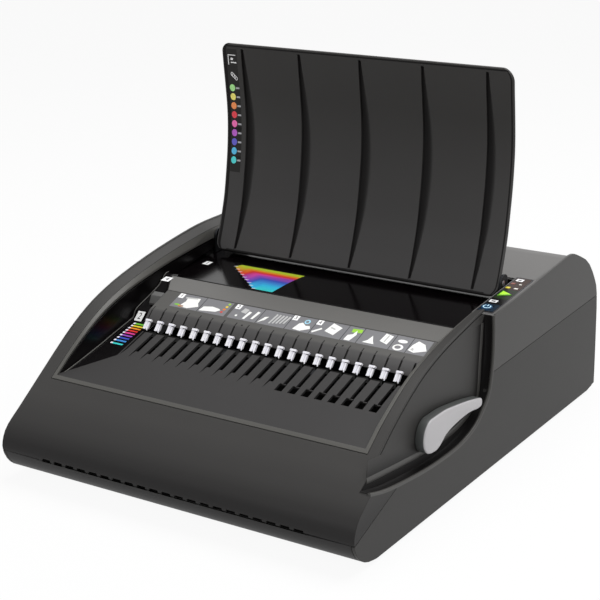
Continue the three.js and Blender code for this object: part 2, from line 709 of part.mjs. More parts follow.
function deckPanel() {
  const right = openingRight - fit;
  const rear = railEnd - panelSheet * 2;
  const line = [[guideFront, dieTop + fit], [throatRear, deckPanelZ], [rear, deckPanelHeight(rear)],
    [rear + panelSheet / 2, deckHeight(rear) - deckInset]];
  const sheet = alongX(band(line, -panelSheet), openingLeft + fit, right);
  const corner = block(right - notchSize * 2, beyond, throatRear - overrun, throatRear + notchSize,
    deckPanelZ - notchSize, beyond);
  return sheet.subtract(corner);
}
place('deck_panel', deckPanel(), glossBlack);

// Left ledge: the black shelf beside the tray and hooks, stepping up to the deck.

const ledgeShares = [            // of the guide plate's reach, from the foot of the hooks
  [-0.281, -0.193], [0.329, -0.039], [0.381, -0.018], [0.453, 0.075], [0.905, 0.246],
  [1.088, 0.381], [1.127, 0.393], [1.227, 0.355],
];
const ledgeThickness = 2;
const ledgeFrontGap = 6.7;       // to the front end of the opening
const ledgeUnderTray = 3.3;
const ledgeFrontZ = trayFrontZ + ledgeFrontGap * Math.tan(traySlope) - ledgeUnderTray;
const ledgeLine = [[rimFront + ledgeFrontGap, ledgeFrontZ], ...ledgeShares.map(onGuide)];
const ledgeStraight = ledgeLine.slice(4, 6);
const sliderSlope = Math.atan2(ledgeStraight[1][1] - ledgeStraight[0][1],
  ledgeStraight[1][0] - ledgeStraight[0][0]);
const sliderTravel = 8;
const sliderNeck = 4;
const sliderLength = 19;
const sliderWidth = 13;
const sliderHeight = 9;
const sliderInset = 17.5;
const sliderX = openingLeft + sliderInset;
const sliderMiddle = (ledgeStraight[0][0] + ledgeStraight[1][0]) / 2;
const sliderZ = lineAt(ledgeStraight[0], ledgeStraight[1], sliderMiddle);
const sliderGroup = new THREE.Group();
sliderGroup.position.set(sliderX, sliderMiddle, sliderZ);
sliderGroup.rotation.x = sliderSlope;
machine.add(sliderGroup);

function leftLedge() {
  const left = openingLeft + fit;
  const shelf = alongX(band(ledgeLine, -ledgeThickness), left, guideLeft + overrun * 2);
  const clear = 2 * fit;
  const plan = alongZ([[left - clear, -beyond], [trayLeft - clear, -beyond],
    [trayLeft - clear, guideLine[0][0] - overrun], [guideLeft - clear, guideLine[0][0]],
    [guideLeft - clear, crestLine[0][0] - clear], [crestLeft - clear, crestLine[1][0] - clear],
    [crestLeft - clear, beyond], [left - clear, beyond]], 0, casingHeight);
  const half = sliderNeck / 2 + fit;
  const slot = block(sliderX - half, sliderX + half, sliderMiddle - sliderTravel - half,
    sliderMiddle + sliderTravel + half, sliderZ - sliderHeight * 2, sliderZ + sliderHeight * 2);
  return shelf.intersect(plan).subtract(slot);
}
place('left_ledge', leftLedge(), glossBlack);

// Comb size slider: a thumb piece on the ledge, held by a plate under the slot.

function sizeSlider() {
  const half = sliderLength / 2;
  const thumb = alongX([[-half, fit], [half, fit], [half, sliderHeight / 3], [half / 3, sliderHeight],
    [-half / 3, sliderHeight], [-half, sliderHeight / 3]], -sliderWidth / 2, sliderWidth / 2);
  const under = -(ledgeThickness + fit);
  const neck = block(-sliderNeck / 2, sliderNeck / 2, -sliderNeck / 2, sliderNeck / 2, under - fit, fit * 2);
  const plate = block(-sliderNeck, sliderNeck, -sliderNeck, sliderNeck, under - ledgeThickness, under);
  return join(thumb, neck, plate);
}
place('size_slider', sizeSlider(), glossBlack, sliderGroup);

// Rack guides: nylon stirrups under the tray that the hook rack's bar slides through.

const stirrupWidth = 5;
const stirrupPost = 2.2;

function rackGuide(x) {
  const front = barFront - hookTravel - 2 * fit;
  const rear = barRear + 2 * fit;
  const under = barTop - barThickness - fit;
  const top = -trayThickness - fit;
  const line = [[front - stirrupPost, top], [front - stirrupPost, under - stirrupPost],
    [rear + stirrupPost, under - stirrupPost], [rear + stirrupPost, top], [rear, top], [rear, under],
    [front, under], [front, top]];
  return alongX(line, x - stirrupWidth / 2, x + stirrupWidth / 2);
}
place('rack_guide_left', rackGuide(hookX(1) + combPitch / 2), nylon, tray);
place('rack_guide_right', rackGuide(hookX(hookCount - 2) - combPitch / 2), nylon, tray);

// Paper cover: one tall curved sheet with five creases, turning on a pin at each end.

const hingeShare = 0.12718;
const hingeRise = 16.96;         // hinge axis above the deck panel
const hingeBehind = 4;           // hinge axis behind the foot of the cover's line
const hingeY = hingeShare * casingDepth;
const hingeZ = deckPanelHeight(hingeY) + hingeRise;
const coverShares = [
  [-0.0293, -0.059], [0.0071, 0.033], [0.033, 0.1132], [0.059, 0.2075], [0.0778, 0.316], [0.0943, 0.4434],
  [0.1014, 0.5708], [0.0976, 0.6745], [0.0849, 0.783], [0.0708, 0.8868], [0.0637, 0.948], [0.059, 0.995],
];
const coverSteps = 14;
const coverPoints = coverShares.map(([a, b]) => [hingeY - hingeBehind + a * coverLength,
  hingeZ + b * coverLength]);
const coverLine = smooth(coverPoints, coverSteps);
const coverLeft = openingLeft + coverClearance;
const coverRight = openingRight - coverClearance;
const coverCorner = 9;
const footCorner = 12;
const cornerSteps = 6;
const creaseShares = [0.0796, 0.2919, 0.5012, 0.712, 0.92];
const creaseWidth = 5;
const creaseDepth = 0.9;
const creaseEnd = 6;
const knuckleRadius = 5.2;
const knuckleLength = 14;
const pinDepth = 11;

function arc(y, z, radius, from, to, steps) {
  return Array.from({ length: steps + 1 }, (_, i) => {
    const angle = from + (to - from) * i / steps;
    return [y + radius * Math.cos(angle), z + radius * Math.sin(angle)];
  });
}

function paperCover() {
  const top = coverLine[coverLine.length - 1][1];
  const foot = coverLine[0][1] - fit;
  const sheet = alongX(band(coverLine, -coverThickness), coverLeft, coverRight);
  const quarter = Math.PI / 2;
  const front = alongY([
    ...arc(coverLeft + footCorner, foot + footCorner, footCorner, 2 * quarter, 3 * quarter, cornerSteps),
    ...arc(coverRight - footCorner, foot + footCorner, footCorner, 3 * quarter, 4 * quarter, cornerSteps),
    ...arc(coverRight - coverCorner, top - coverCorner, coverCorner, 0, quarter, cornerSteps),
    ...arc(coverLeft + coverCorner, top - coverCorner, coverCorner, quarter, 2 * quarter, cornerSteps)],
  0, casingDepth / 2);
  const inside = coverLine.filter(([, z]) => z > hingeZ - creaseEnd && z < top - creaseEnd);
  const groove = band(offset(inside, creaseDepth), -creaseDepth * 2);
  const creases = creaseShares.map((share) => {
    const x = coverLeft + share * (coverRight - coverLeft);
    return alongX(groove, x - creaseWidth / 2, x + creaseWidth / 2);
  });
  const knuckles = [[coverLeft, coverLeft + knuckleLength], [coverRight - knuckleLength, coverRight]]
    .map(([x0, x1]) => rodX(knuckleRadius, x0, x1, hingeY, hingeZ));
  const bore = (x0, x1) => rodX(hingeRadius + fit, x0, x1, hingeY, hingeZ);
  const bores = [bore(coverLeft - overrun, coverLeft + pinDepth + fit),
    bore(coverRight - pinDepth - fit, coverRight + overrun)];
  return cut(join(cut(sheet.intersect(front), ...creases), ...knuckles), ...bores);
}
place('paper_cover', paperCover(), coverPlastic);

// Hinge ears stand on the deck panel in the gaps at the cover's ends, and each holds a steel pin.

const earThickness = coverClearance - 2 * fit;
const earRadius = 8;
const earBack = 1.5;
const earUp = 1;
const earSteps = 14;

function hingeEar(x0) {
  const [y, z] = [hingeY + earBack, hingeZ + earUp];
  const foot = (at) => [at, deckPanelHeight(at) + fit];
  const plate = alongX([...arc(y, z, earRadius, 0, Math.PI, earSteps), foot(y - earRadius),
    foot(y + earRadius)], x0, x0 + earThickness);
  return plate.subtract(rodX(hingeRadius + fit, x0 - overrun, x0 + earThickness + overrun, hingeY, hingeZ));
}
place('hinge_ear_left', hingeEar(openingLeft + fit), darkSteel);
place('hinge_ear_right', hingeEar(openingRight - fit - earThickness), darkSteel);
const hingePin = (x0, x1) => rodX(hingeRadius, x0, x1, hingeY, hingeZ);
place('hinge_pin_left', hingePin(openingLeft + fit, coverLeft + pinDepth), steel);
place('hinge_pin_right', hingePin(coverRight - pinDepth, openingRight - fit), steel);

// Controls, in a group that lies on the sloping strip: x across, y up the slope, z out of it.

const controls = new THREE.Group();
controls.position.set(0, deckFront, deckFrontZ);
controls.rotation.x = deckSlope;
machine.add(controls);
const alongDeck = (y) => (y - deckFront) / Math.cos(deckSlope);
const stripBottom = -wall * 2;
const keyProud = 0.7;
const keyTravel = 0.8;
const stemRadius = 1.5;
const keyGap = 0.1;              // what is left under a pressed key
const powerShares = [0.379, 0.1245];
const punchShares = [0.5, 0.5165];
const amberShares = [0.2, 0.6925];
const redShares = [0.2, 0.816];
const onPanel = ([a, b]) => [panelLeft + a * (panelRight - panelLeft),
  alongDeck(panelFront + b * (panelRear - panelFront))];
const powerRadius = 5.6;
const punchWidth = 12.5;
const punchDepth = 14;
const lensWidth = 4.4;
const lensDepth = 4;

function triangle([x, y], grow) {
  const [w, d] = [punchWidth / 2 + grow, punchDepth / 2 + grow];
  return [[x - w, y - d], [x + w, y], [x - w, y + d]];
}
const lensBox = ([x, y], grow, z0, z1) => block(x - lensWidth / 2 - grow, x + lensWidth / 2 + grow,
  y - lensDepth / 2 - grow, y + lensDepth / 2 + grow, z0, z1);

function controlPanel() {
  const [front, rear] = [alongDeck(panelFront), alongDeck(panelRear)];
  const plate = block(panelLeft, panelRight, front, rear, -panelThickness, 0);
  const [px, py] = onPanel(powerShares);
  return cut(plate, rodZ(powerRadius + fit, -overrun, overrun, px, py),
    alongZ(triangle(onPanel(punchShares), fit * 2), -overrun, overrun),
    lensBox(onPanel(amberShares), fit, -overrun, overrun),
    lensBox(onPanel(redShares), fit, -overrun, overrun));
}
place('control_panel', controlPanel(), glossBlack, controls);

const keyBottom = -(panelThickness + fit * 2);
const switchTop = keyBottom - keyTravel - keyGap;
function key(cap, [x, y]) {
  return join(cap, rodZ(stemRadius, keyBottom, -panelThickness / 2, x, y, smallSides));
}
const [powerX, powerY] = onPanel(powerShares);
const powerCap = rodZ(powerRadius, -panelThickness, keyProud, powerX, powerY, wideSides);
place('power_button', key(powerCap, [powerX, powerY]), blueLight, controls);
const punchAt = onPanel(punchShares);
const punchStem = [punchAt[0] - punchWidth / 6, punchAt[1]];
const punchCap = alongZ(triangle(punchAt, 0), -panelThickness, keyProud);
place('punch_button', key(punchCap, punchStem), greenLight, controls);
place('amber_indicator', lensBox(onPanel(amberShares), 0, -panelThickness, fit), amberLight, controls);
place('red_indicator', lensBox(onPanel(redShares), 0, -panelThickness, fit), redLight, controls);

const circuitThickness = 1.6;
const switchSide = 6;
const lampRadius = 1.5;

function switchBoard() {
  const top = stripBottom - fit;
  const board = block(rightFrame, panelRight, alongDeck(panelFront), alongDeck(panelRear),
    top - circuitThickness, top);
  const half = switchSide / 2;
  const switches = [[powerX, powerY], punchStem].map(([x, y]) => join(
    block(x - half, x + half, y - half, y + half, top - fit, top + wall / 2),
    rodZ(stemRadius, top, switchTop, x, y, smallSides)));
  const lamps = [amberShares, redShares].map((shares) => {
    const [x, y] = onPanel(shares);
    return rodZ(lampRadius, top - fit, -(panelThickness + fit), x + lampRadius, y, smallSides);
  });
  return join(board, ...switches, ...lamps);
}
place('switch_board', switchBoard(), boardGreen, controls);

// Recess panel: the dark wall behind the lever, under the right rail.

const recessFront = swooshCorner[0] + overrun / 2;
const recessWall = recessX - wall;
const recessDrop = wall + 4 * fit;
const hubRadius = 9;

function recessPanel() {
  const rear = deckFront - fit;
  const top = offset(railBetween(recessFront, rear, rightEdgeShare), -recessDrop).filter(([y]) => y < rear);
  const underStrip = deckFrontZ - wall * 2 - fit;
  const bottom = swoosh.filter(([y]) => y > recessFront).map(([y, z]) => [y, z - wall * 2]);
  const lowest = bottom.findIndex(([, z], i) => i > 0 && z > bottom[i - 1][1]);
  const low = bottom.slice(0, lowest).reverse();
  const lastY = deckFront + wall;
  const edge = [...top, [rear, top[top.length - 1][1]], [rear, underStrip], [lastY, underStrip],
    [lastY, low[0][1]], ...low];
  const hole = rodX(hubRadius + 2 * fit, recessWall - overrun, recessX + overrun, leverPivotY, leverPivotZ);
  return alongX(edge, recessWall, recessX).subtract(hole);
}
place('recess_panel', recessPanel(), charcoalPlastic);

// Release lever: turns the shaft whose pinions draw the hooks forward.

const leverOuter = halfWidth - fit;
const leverInner = recessX + 2 * fit;
const hubDepth = 4;
const leverTopShares = [[0.16, 1.02], [0.27, 1.02], [0.45, 0.86], [0.7, 0.61], [0.93, 0.305], [1, -0.1]];
const leverUnderShares = [[0.94, -0.325], [0.7, -0.19], [0.44, -0.3], [0.27, -0.52], [0.14, -1.09]];
const headShare = 1.04;
const headFrom = THREE.MathUtils.degToRad(81);
const headTo = THREE.MathUtils.degToRad(291.6);
const headSteps = 18;

function releaseLever() {
  const at = ([a, b]) => [leverPivotY + a * leverReach, leverPivotZ + b * leverBulb];
  const head = arc(leverPivotY, leverPivotZ, leverBulb * headShare, headFrom, headTo, headSteps);
  const handle = [...leverUnderShares].reverse().map(at);
  const arm = [...leverTopShares].reverse().map(at);
  const shape = [...head, ...handle, ...arm];
  const grip = alongX(shape, leverInner, leverOuter);
  const hub = rodX(hubRadius, recessWall - hubDepth, leverInner + fit, leverPivotY, leverPivotZ);
  const bore = rodX(leverShaftRadius + fit, 0, leverOuter - wall, leverPivotY, leverPivotZ);
  return join(grip, hub).subtract(bore);
}
place('release_lever', releaseLever(), leverGrey);

const gearToothHeight = 0.7;     // of the module
const gearToothDepth = 1.15;
const gearToothWidth = 0.86;     // of half the pitch

// A toothed wheel's outline: round the circle, each tooth from its root up over its tip. The teeth are a
// little slim, so a pair turns freely. A tooth stands at the start angle.
function gearOutline(y, z, module, teeth, start, flankSteps) {
  const pitchRadius = module * teeth / 2;
  const tip = pitchRadius + gearToothHeight * module;
  const root = pitchRadius - gearToothDepth * module;
  const pressure = THREE.MathUtils.degToRad(20);
  const base = Math.max(pitchRadius * Math.cos(pressure), root);
  const involute = (radius) => {
    const angle = Math.acos(Math.min(1, pitchRadius * Math.cos(pressure) / radius));
    return Math.tan(angle) - angle;
  };
  const halfPitch = Math.PI / (2 * teeth) * gearToothWidth;
  const halfAt = (radius) => halfPitch + involute(pitchRadius) - involute(radius);
  const flankPoints = Array.from({ length: flankSteps + 1 },
    (_, i) => root + (tip - root) * i / flankSteps);
  return Array.from({ length: teeth }, (_, i) => {
    const middle = start + i * 2 * Math.PI / teeth;
    const side = (radius, sign) => {
      const angle = middle + sign * halfAt(Math.max(radius, base));
      return [y + radius * Math.cos(angle), z + radius * Math.sin(angle)];
    };
    return [...flankPoints.map((radius) => side(radius, -1)),
      ...[...flankPoints].reverse().map((radius) => side(radius, 1))];
  }).flat();
}

// Lever shaft with a pinion under each toothed rail.

const bushWall = 2;
const bushFlange = 1.8;
const shaftEnd = 1;

function pinion(x) {
  const up = Math.PI / 2 + traySlope;
  const wheel = gearOutline(leverPivotY, leverPivotZ, rackModule, leverPinionTeeth,
    up + Math.PI / leverPinionTeeth, 2);
  const bore = rodX(leverShaftRadius + fit, x - toothedWidth, x + toothedWidth, leverPivotY, leverPivotZ);
  return alongX(wheel, x - toothedWidth / 2, x + toothedWidth / 2).subtract(bore);
}
place('lever_shaft', rodX(leverShaftRadius, leftFrame - frameThickness - bushFlange - shaftEnd,
  leverOuter - wall - fit, leverPivotY, leverPivotZ), steel);
place('lever_pinion_left', pinion(toothedRails[0]), nylon);
place('lever_pinion_right', pinion(toothedRails[1]), nylon);

// Frame plates: two upright steel sides that carry the shafts, the die and the punch.

const blockThickness = 11;
const punchTravel = 2 * eccentricThrow;
const punchBarThickness = 10;
const yokeClearance = 1.6;       // round the eccentric, along the punch's travel
const yokeNeck = 16.9;           // punch bar to the eccentric's slot
const yokeSlot = eccentricRadius + yokeClearance;
const punchFront = guideFront + blockThickness + punchTravel + 4 * fit;
const driveY = punchFront + punchBarThickness + yokeNeck + yokeSlot - eccentricThrow;
const driveZ = dieTop - dieHeight / 2;
const frameFrontReach = 22.7;    // ahead of the lever's shaft
const frameRearReach = 45.8;     // behind the drive shaft
const frameTopShares = [0.545, 0.735, 0.763];
const frameKneeShare = -0.112;
const frameYs = [leverPivotY - frameFrontReach, frameKneeShare * casingDepth, driveY + frameRearReach];
const frameOutline = frameYs.map((y, i) => [y, frameTopShares[i] * casingHeight]);

function bush(side, radius, y, z) {
  const inner = side > 0 ? rightFrame : leftFrame;
  const outer = inner + side * (frameThickness + fit);
  const span = (a, b) => [Math.min(a, b), Math.max(a, b)];
  const body = rodX(radius + fit + bushWall, ...span(inner - side * fit, outer + side * fit), y, z);
  const flange = rodX(radius + fit + bushWall * 2, ...span(outer, outer + side * bushFlange), y, z);
  const bore = rodX(radius + fit, ...span(inner - side * overrun, outer + side * overrun), y, z);
  return join(body, flange).subtract(bore);
}

function framePlate(left, right) {
  const front = frameOutline[0][0];
  const rear = frameOutline[frameOutline.length - 1][0];
  const foot = floorTop + fit;
  const plate = alongX([[front, foot], ...frameOutline, [rear, foot]], left, right);
  const shafts = [[leverShaftRadius, leverPivotY, leverPivotZ], [driveShaftRadius, driveY, driveZ]];
  const holes = shafts.map(([radius, y, z]) =>
    rodX(radius + bushWall + 2 * fit, left - overrun, right + overrun, y, z));
  return cut(plate, ...holes);
}
const drawerWay = block(-beyond, 0, drawerFront - 2 * fit, drawerRear + 2 * fit, 0, drawerTop + 2 * fit);
place('frame_plate_left', framePlate(leftFrame - frameThickness, leftFrame).subtract(drawerWay), darkSteel);
place('frame_plate_right', framePlate(rightFrame, rightFrame + frameThickness), darkSteel);
place('lever_bush_left', bush(-1, leverShaftRadius, leverPivotY, leverPivotZ), nylon);
place('lever_bush_right', bush(1, leverShaftRadius, leverPivotY, leverPivotZ), nylon);
place('shaft_bush_left', bush(-1, driveShaftRadius, driveY, driveZ), nylon);
place('shaft_bush_right', bush(1, driveShaftRadius, driveY, driveZ), nylon);

// Punch unit: 21 flat pins run through a guide block, across the paper gap and into the die.

const holeWidth = 8.5;
const holeHeight = 3.5;
const punchRest = 1.2;           // how far a pin's tip lies back inside the guide
const punchBarHeight = 16;
const yokeWall = 4;
const yokeWidth = 12;
const yokeToFrame = 93.4;        // left frame plate to the middle of the left yoke
const yokeToMotor = 38.4;        // the same on the right, past the motor's length
const yokes = [leftFrame + yokeToFrame, rightFrame - motorLength - yokeToMotor];

function punchBlock(y0, y1) {
  const body = block(leftFrame + fit, rightFrame - fit, y0, y1, dieTop - dieHeight, dieTop);
  const half = [holeWidth / 2, holeHeight / 2];
  const holes = Array.from({ length: hookCount }, (_, i) => block(hookX(i) - half[0], hookX(i) + half[0],
    y0 - overrun, y1 + overrun, driveZ - half[1], driveZ + half[1]));
  return cut(body, ...holes);
}
place('die_block', punchBlock(dieRear - blockThickness, dieRear), steel);
place('pin_guide_block', punchBlock(guideFront, guideFront + blockThickness), steel);

function punchBar() {
  const half = [holeWidth / 2 - fit, holeHeight / 2 - fit];
  const rear = punchFront + punchBarThickness;
  const bar = block(hookX(0) - overrun, hookX(hookCount - 1) + overrun, punchFront, rear,
    driveZ - punchBarHeight / 2, driveZ + punchBarHeight / 2);
  const pins = Array.from({ length: hookCount }, (_, i) => block(hookX(i) - half[0], hookX(i) + half[0],
    guideFront + punchRest, punchFront + fit, driveZ - half[1], driveZ + half[1]));
  const middle = driveY + eccentricThrow;
  const rise = eccentricRadius + eccentricThrow + 2 * fit;
  const frames = yokes.map((x) => {
    const outside = block(x - yokeWidth / 2, x + yokeWidth / 2, rear - fit, middle + yokeSlot + yokeWall,
      driveZ - rise - yokeWall, driveZ + rise + yokeWall);
    return outside.subtract(block(x - yokeWidth, x + yokeWidth, middle - yokeSlot, middle + yokeSlot,
      driveZ - rise, driveZ + rise));
  });
  return join(bar, ...pins, ...frames);
}
place('punch_bar', punchBar(), steel);

// Drive: a motor turns the eccentric shaft through a pinion and a large gear.

const gearWidth = 8;
const gearX0 = rightFrame - fit * 4 - gearWidth;
const gearX1 = gearX0 + gearWidth;
const motorAngle = THREE.MathUtils.degToRad(-25);
const motorReach = gearModule * (driveGearTeeth + motorPinionTeeth) / 2;
const motorY = driveY + motorReach * Math.cos(motorAngle);
const motorZ = driveZ + motorReach * Math.sin(motorAngle);
const motorShaftRadius = 3;
const motorBoss = 8;
const motorFront = gearX0 - 2 * fit - frameThickness * 2;
const motorEnd = motorFront - motorLength;
const webHoleRadius = 8;
const webHoles = 5;

function driveShaft() {
  const shaft = rodX(driveShaftRadius, leftFrame - frameThickness - bushFlange - shaftEnd,
    rightFrame + frameThickness + bushFlange + shaftEnd, driveY, driveZ);
  const half = yokeWidth / 2 - fit * 3;
  const discs = yokes.map((x) =>
    rodX(eccentricRadius, x - half, x + half, driveY + eccentricThrow, driveZ, wideSides));
  return join(shaft, ...discs);
}
place('drive_shaft', driveShaft(), darkSteel);

function driveGear() {
  const teeth = gearOutline(driveY, driveZ, gearModule, driveGearTeeth, motorAngle, 1);
  const wheel = alongX(teeth, gearX0, gearX1);
  const ring = (gearModule * driveGearTeeth / 2 + driveShaftRadius) / 2;
  const holes = Array.from({ length: webHoles }, (_, i) => {
    const angle = i * 2 * Math.PI / webHoles;
    return rodX(webHoleRadius, gearX0 - overrun, gearX1 + overrun, driveY + ring * Math.cos(angle),
      driveZ + ring * Math.sin(angle));
  });
  const bore = rodX(driveShaftRadius + fit, gearX0 - overrun, gearX1 + overrun, driveY, driveZ);
  return cut(wheel, bore, ...holes);
}
place('drive_gear', driveGear(), nylon);

function motorPinion() {
  const towardsGear = motorAngle + Math.PI;
  const wheel = gearOutline(motorY, motorZ, gearModule, motorPinionTeeth,
    towardsGear + Math.PI / motorPinionTeeth, 3);
  const shaft = rodX(motorShaftRadius, motorFront - motorBoss + fit, gearX0 + fit, motorY, motorZ);
  return join(alongX(wheel, gearX0, gearX1), shaft);
}
place('motor_pinion', motorPinion(), steel);

function motor() {
  const can = rodX(motorRadius, motorEnd, motorFront, motorY, motorZ, wideSides);
  const rearBoss = rodX(motorBoss, motorEnd - motorBoss / 2, motorEnd + fit, motorY, motorZ);
  const frontBoss = rodX(motorBoss, motorFront - fit, motorFront + frameThickness + fit, motorY, motorZ);
  const bore = rodX(motorShaftRadius + fit, motorFront - motorBoss, motorFront + overrun, motorY, motorZ);
  return join(can, rearBoss, frontBoss).subtract(bore);
}
place('motor', motor(), steel);

function motorBracket() {
  const x0 = motorFront + fit;
  const half = motorRadius + overrun;
  const plate = block(x0, x0 + frameThickness, motorY - half, motorY + half, floorTop + fit, motorZ + half);
  const foot = block(x0 - motorRadius, x0 + fit, motorY - half, motorY + half, floorTop + fit,
    floorTop + fit + frameThickness);
  const hole = rodX(motorBoss + fit, x0 - overrun, x0 + overrun, motorY, motorZ);
  const shaftWay = rodX(driveShaftRadius + overrun, x0 - overrun, x0 + overrun, driveY, driveZ);
  return cut(join(plate, foot), hole, shaftWay);
}
place('motor_bracket', motorBracket(), darkSteel);

// Chip drawer: an open tray that pulls out of the left side.

const drawerWall = 2;

function chipDrawer() {
  const left = -halfWidth;
  const right = halfWidth - drawerShort;
  const box = block(left, right, drawerFront, drawerRear, drawerBottom, drawerTop);
  const inside = block(left + wall + drawerWall, right - drawerWall, drawerFront + drawerWall,
    drawerRear - drawerWall, drawerBottom + drawerWall, drawerTop + overrun);
  const [gripTop, gripBottom] = [drawerTop - drawerHeight / 2, drawerBottom + drawerWall * 2];
  const grip = alongY([[left - overrun, gripTop], [left + wall, gripTop], [left + wall / 2, gripBottom],
    [left - overrun, gripBottom]], drawerFront + drawerDepth / 4, drawerRear - drawerDepth / 4);
  return cut(box, inside, grip);
}
place('chip_drawer', chipDrawer(), charcoalPlastic);

// Circuit board on four posts, with its transformer, capacitors and relay.

const boardPartShares = [
  [-0.25, -0.15, 0.36, 0.34, 0.27], [0.22, -0.28, 0.18, 0.2, 0.22], [0.3, 0.1, 0.16, 0.14, 0.16],
  [0.02, 0.32, 0.5, 0.1, 0.1],
];

function circuitBoard() {
  const bottom = floorTop + postHeight + fit;
  const top = bottom + circuitThickness;
  const board = block(boardX - boardWidth / 2, boardX + boardWidth / 2, boardY - boardDepth / 2,
    boardY + boardDepth / 2, bottom, top);
  const parts = boardPartShares.map(([a, b, w, d, h]) => block(boardX + (a - w / 2) * boardWidth,
    boardX + (a + w / 2) * boardWidth, boardY + (b - d / 2) * boardDepth, boardY + (b + d / 2) * boardDepth,
    top - fit, top + h * boardWidth));
  return join(board, ...parts);
}
place('circuit_board', circuitBoard(), boardGreen);

// Power inlet: a socket with three blades, let into the back.

const inletDepth = 24;
const socketWall = 2;
const socketDepth = 17;
const bladeShares = [[-0.29, -0.12], [0.29, -0.12], [0, 0.2]];
const bladeWidth = 2;
const bladeHeight = 5;

function powerInlet() {
  const face = heightAt(backLine.map(([y, z]) => [z, y]).reverse(), inletZ) - deckInset;
  const flangeRear = face - wall - socketWall / 2 - fit;
  const half = [inletWidth / 2, inletHeight / 2];
  const cased = (grow, y0, y1) => block(inletX - half[0] - grow, inletX + half[0] + grow, y0, y1,
    inletZ - half[1] - grow, inletZ + half[1] + grow);
  const body = cased(0, face - inletDepth, face - fit);
  const flange = cased(wall, flangeRear - socketWall, flangeRear);
  const socket = cased(-socketWall, face - socketDepth, face + overrun);
  const blades = bladeShares.map(([a, b]) => {
    const [x, z] = [inletX + a * inletWidth, inletZ + b * inletHeight];
    return block(x - bladeWidth / 2, x + bladeWidth / 2, face - socketDepth - fit, face - socketDepth / 2,
      z - bladeHeight / 2, z + bladeHeight / 2);
  });
  return join(join(body, flange).subtract(socket), ...blades);
}
place('power_inlet', powerInlet(), glossBlack);

// Rubber feet pushed into the floor.

const footNames = ['foot_front_left', 'foot_front_right', 'foot_rear_left', 'foot_rear_right'];
feet.forEach(([x, y], i) => {
  const pad = rodZ(footRadius, 0, floorGap - fit, x, y);
  place(footNames[i], pad.add(rodZ(footStem, fit, floorTop + wall / 2, x, y)), rubber);
});

export default machine;
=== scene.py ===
import math

import bmesh
import bpy
import numpy as np
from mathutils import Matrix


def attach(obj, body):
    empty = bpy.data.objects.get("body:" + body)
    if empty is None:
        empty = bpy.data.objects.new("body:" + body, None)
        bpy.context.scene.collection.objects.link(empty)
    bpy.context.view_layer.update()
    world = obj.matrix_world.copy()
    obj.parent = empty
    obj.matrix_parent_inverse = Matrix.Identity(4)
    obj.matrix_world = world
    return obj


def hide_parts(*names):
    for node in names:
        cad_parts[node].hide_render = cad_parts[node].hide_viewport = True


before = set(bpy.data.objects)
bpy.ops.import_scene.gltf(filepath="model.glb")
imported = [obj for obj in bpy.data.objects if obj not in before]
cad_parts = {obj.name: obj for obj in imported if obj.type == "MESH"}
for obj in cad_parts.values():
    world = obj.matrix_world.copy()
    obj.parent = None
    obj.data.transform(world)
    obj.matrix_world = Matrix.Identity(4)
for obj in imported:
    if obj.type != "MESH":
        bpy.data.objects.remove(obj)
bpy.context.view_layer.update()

# The studio: a white table under a wide soft lamp, with weak fills from the side and the front, and a camera
# that looks down on the machine from the front right. Table and sky show white, and the table keeps a soft
# shadow.
MM = 0.001
white = (1, 1, 1, 1)
camera_at_mm = (765.02, -1264.70, 606.78)
camera_azimuth, camera_elevation = math.radians(32.008), math.radians(17.467)
focal_px, frame_px, sensor_mm, view_end = 1527.5, 600, 36.0, 20.0
sky_light, table_half, table_glow = 0.3, 12.0, 0.93


def linear(text):
    """A hex colour as it looks on a screen, as linear red, green, blue and full alpha."""
    shown = np.array([int(text[i:i + 2], 16) for i in (1, 3, 5)]) / 255
    value = np.where(shown <= 0.04045, shown / 12.92, ((shown + 0.055) / 1.055) ** 2.4)
    return (*value.tolist(), 1.0)


def set_inputs(tree, made, inputs):
    """Sets each named input of a node to its value, or links it where the value is a socket."""
    for name, value in inputs.items():
        if isinstance(value, bpy.types.NodeSocket):
            tree.links.new(value, made.inputs[name])
        else:
            made.inputs[name].default_value = value


def node(tree, kind, inputs=None, **settings):
    """One node with its settings, and with its inputs set or linked."""
    made = tree.nodes.new(kind)
    for name, value in settings.items():
        setattr(made, name, value)
    set_inputs(tree, made, inputs or {})
    return made


def background_rays(tree):
    """One for rays from the camera, from a mirror or through glass, which see the background, and else nought."""
    path = node(tree, "ShaderNodeLightPath")
    clear = node(tree, "ShaderNodeMath", {0: path.outputs["Is Camera Ray"],
                                          1: path.outputs["Is Transmission Ray"]}, operation="MAXIMUM")
    return node(tree, "ShaderNodeMath", {0: clear.outputs[0], 1: path.outputs["Is Glossy Ray"]},
                operation="MAXIMUM").outputs[0]


scene = bpy.context.scene
scene.view_settings.view_transform = "Standard"
camera = bpy.data.objects.new("camera", bpy.data.cameras.new("camera"))
camera.location = [value * MM for value in camera_at_mm]
camera.rotation_euler = (math.pi / 2 - camera_elevation, 0, camera_azimuth)
camera.data.sensor_width = sensor_mm
camera.data.lens = focal_px / frame_px * sensor_mm
camera.data.clip_end = view_end
scene.collection.objects.link(camera)
scene.camera = camera

world = bpy.data.worlds.new("studio")
world.use_nodes = True
sky = world.node_tree
sky.nodes.clear()
white_sky = node(sky, "ShaderNodeBackground", {"Color": white, "Strength": 1.0})
soft_sky = node(sky, "ShaderNodeBackground", {"Color": white, "Strength": sky_light})
both = node(sky, "ShaderNodeMixShader", {0: background_rays(sky), 1: soft_sky.outputs[0],
                                         2: white_sky.outputs[0]})
node(sky, "ShaderNodeOutputWorld", {"Surface": both.outputs[0]})
scene.world = world

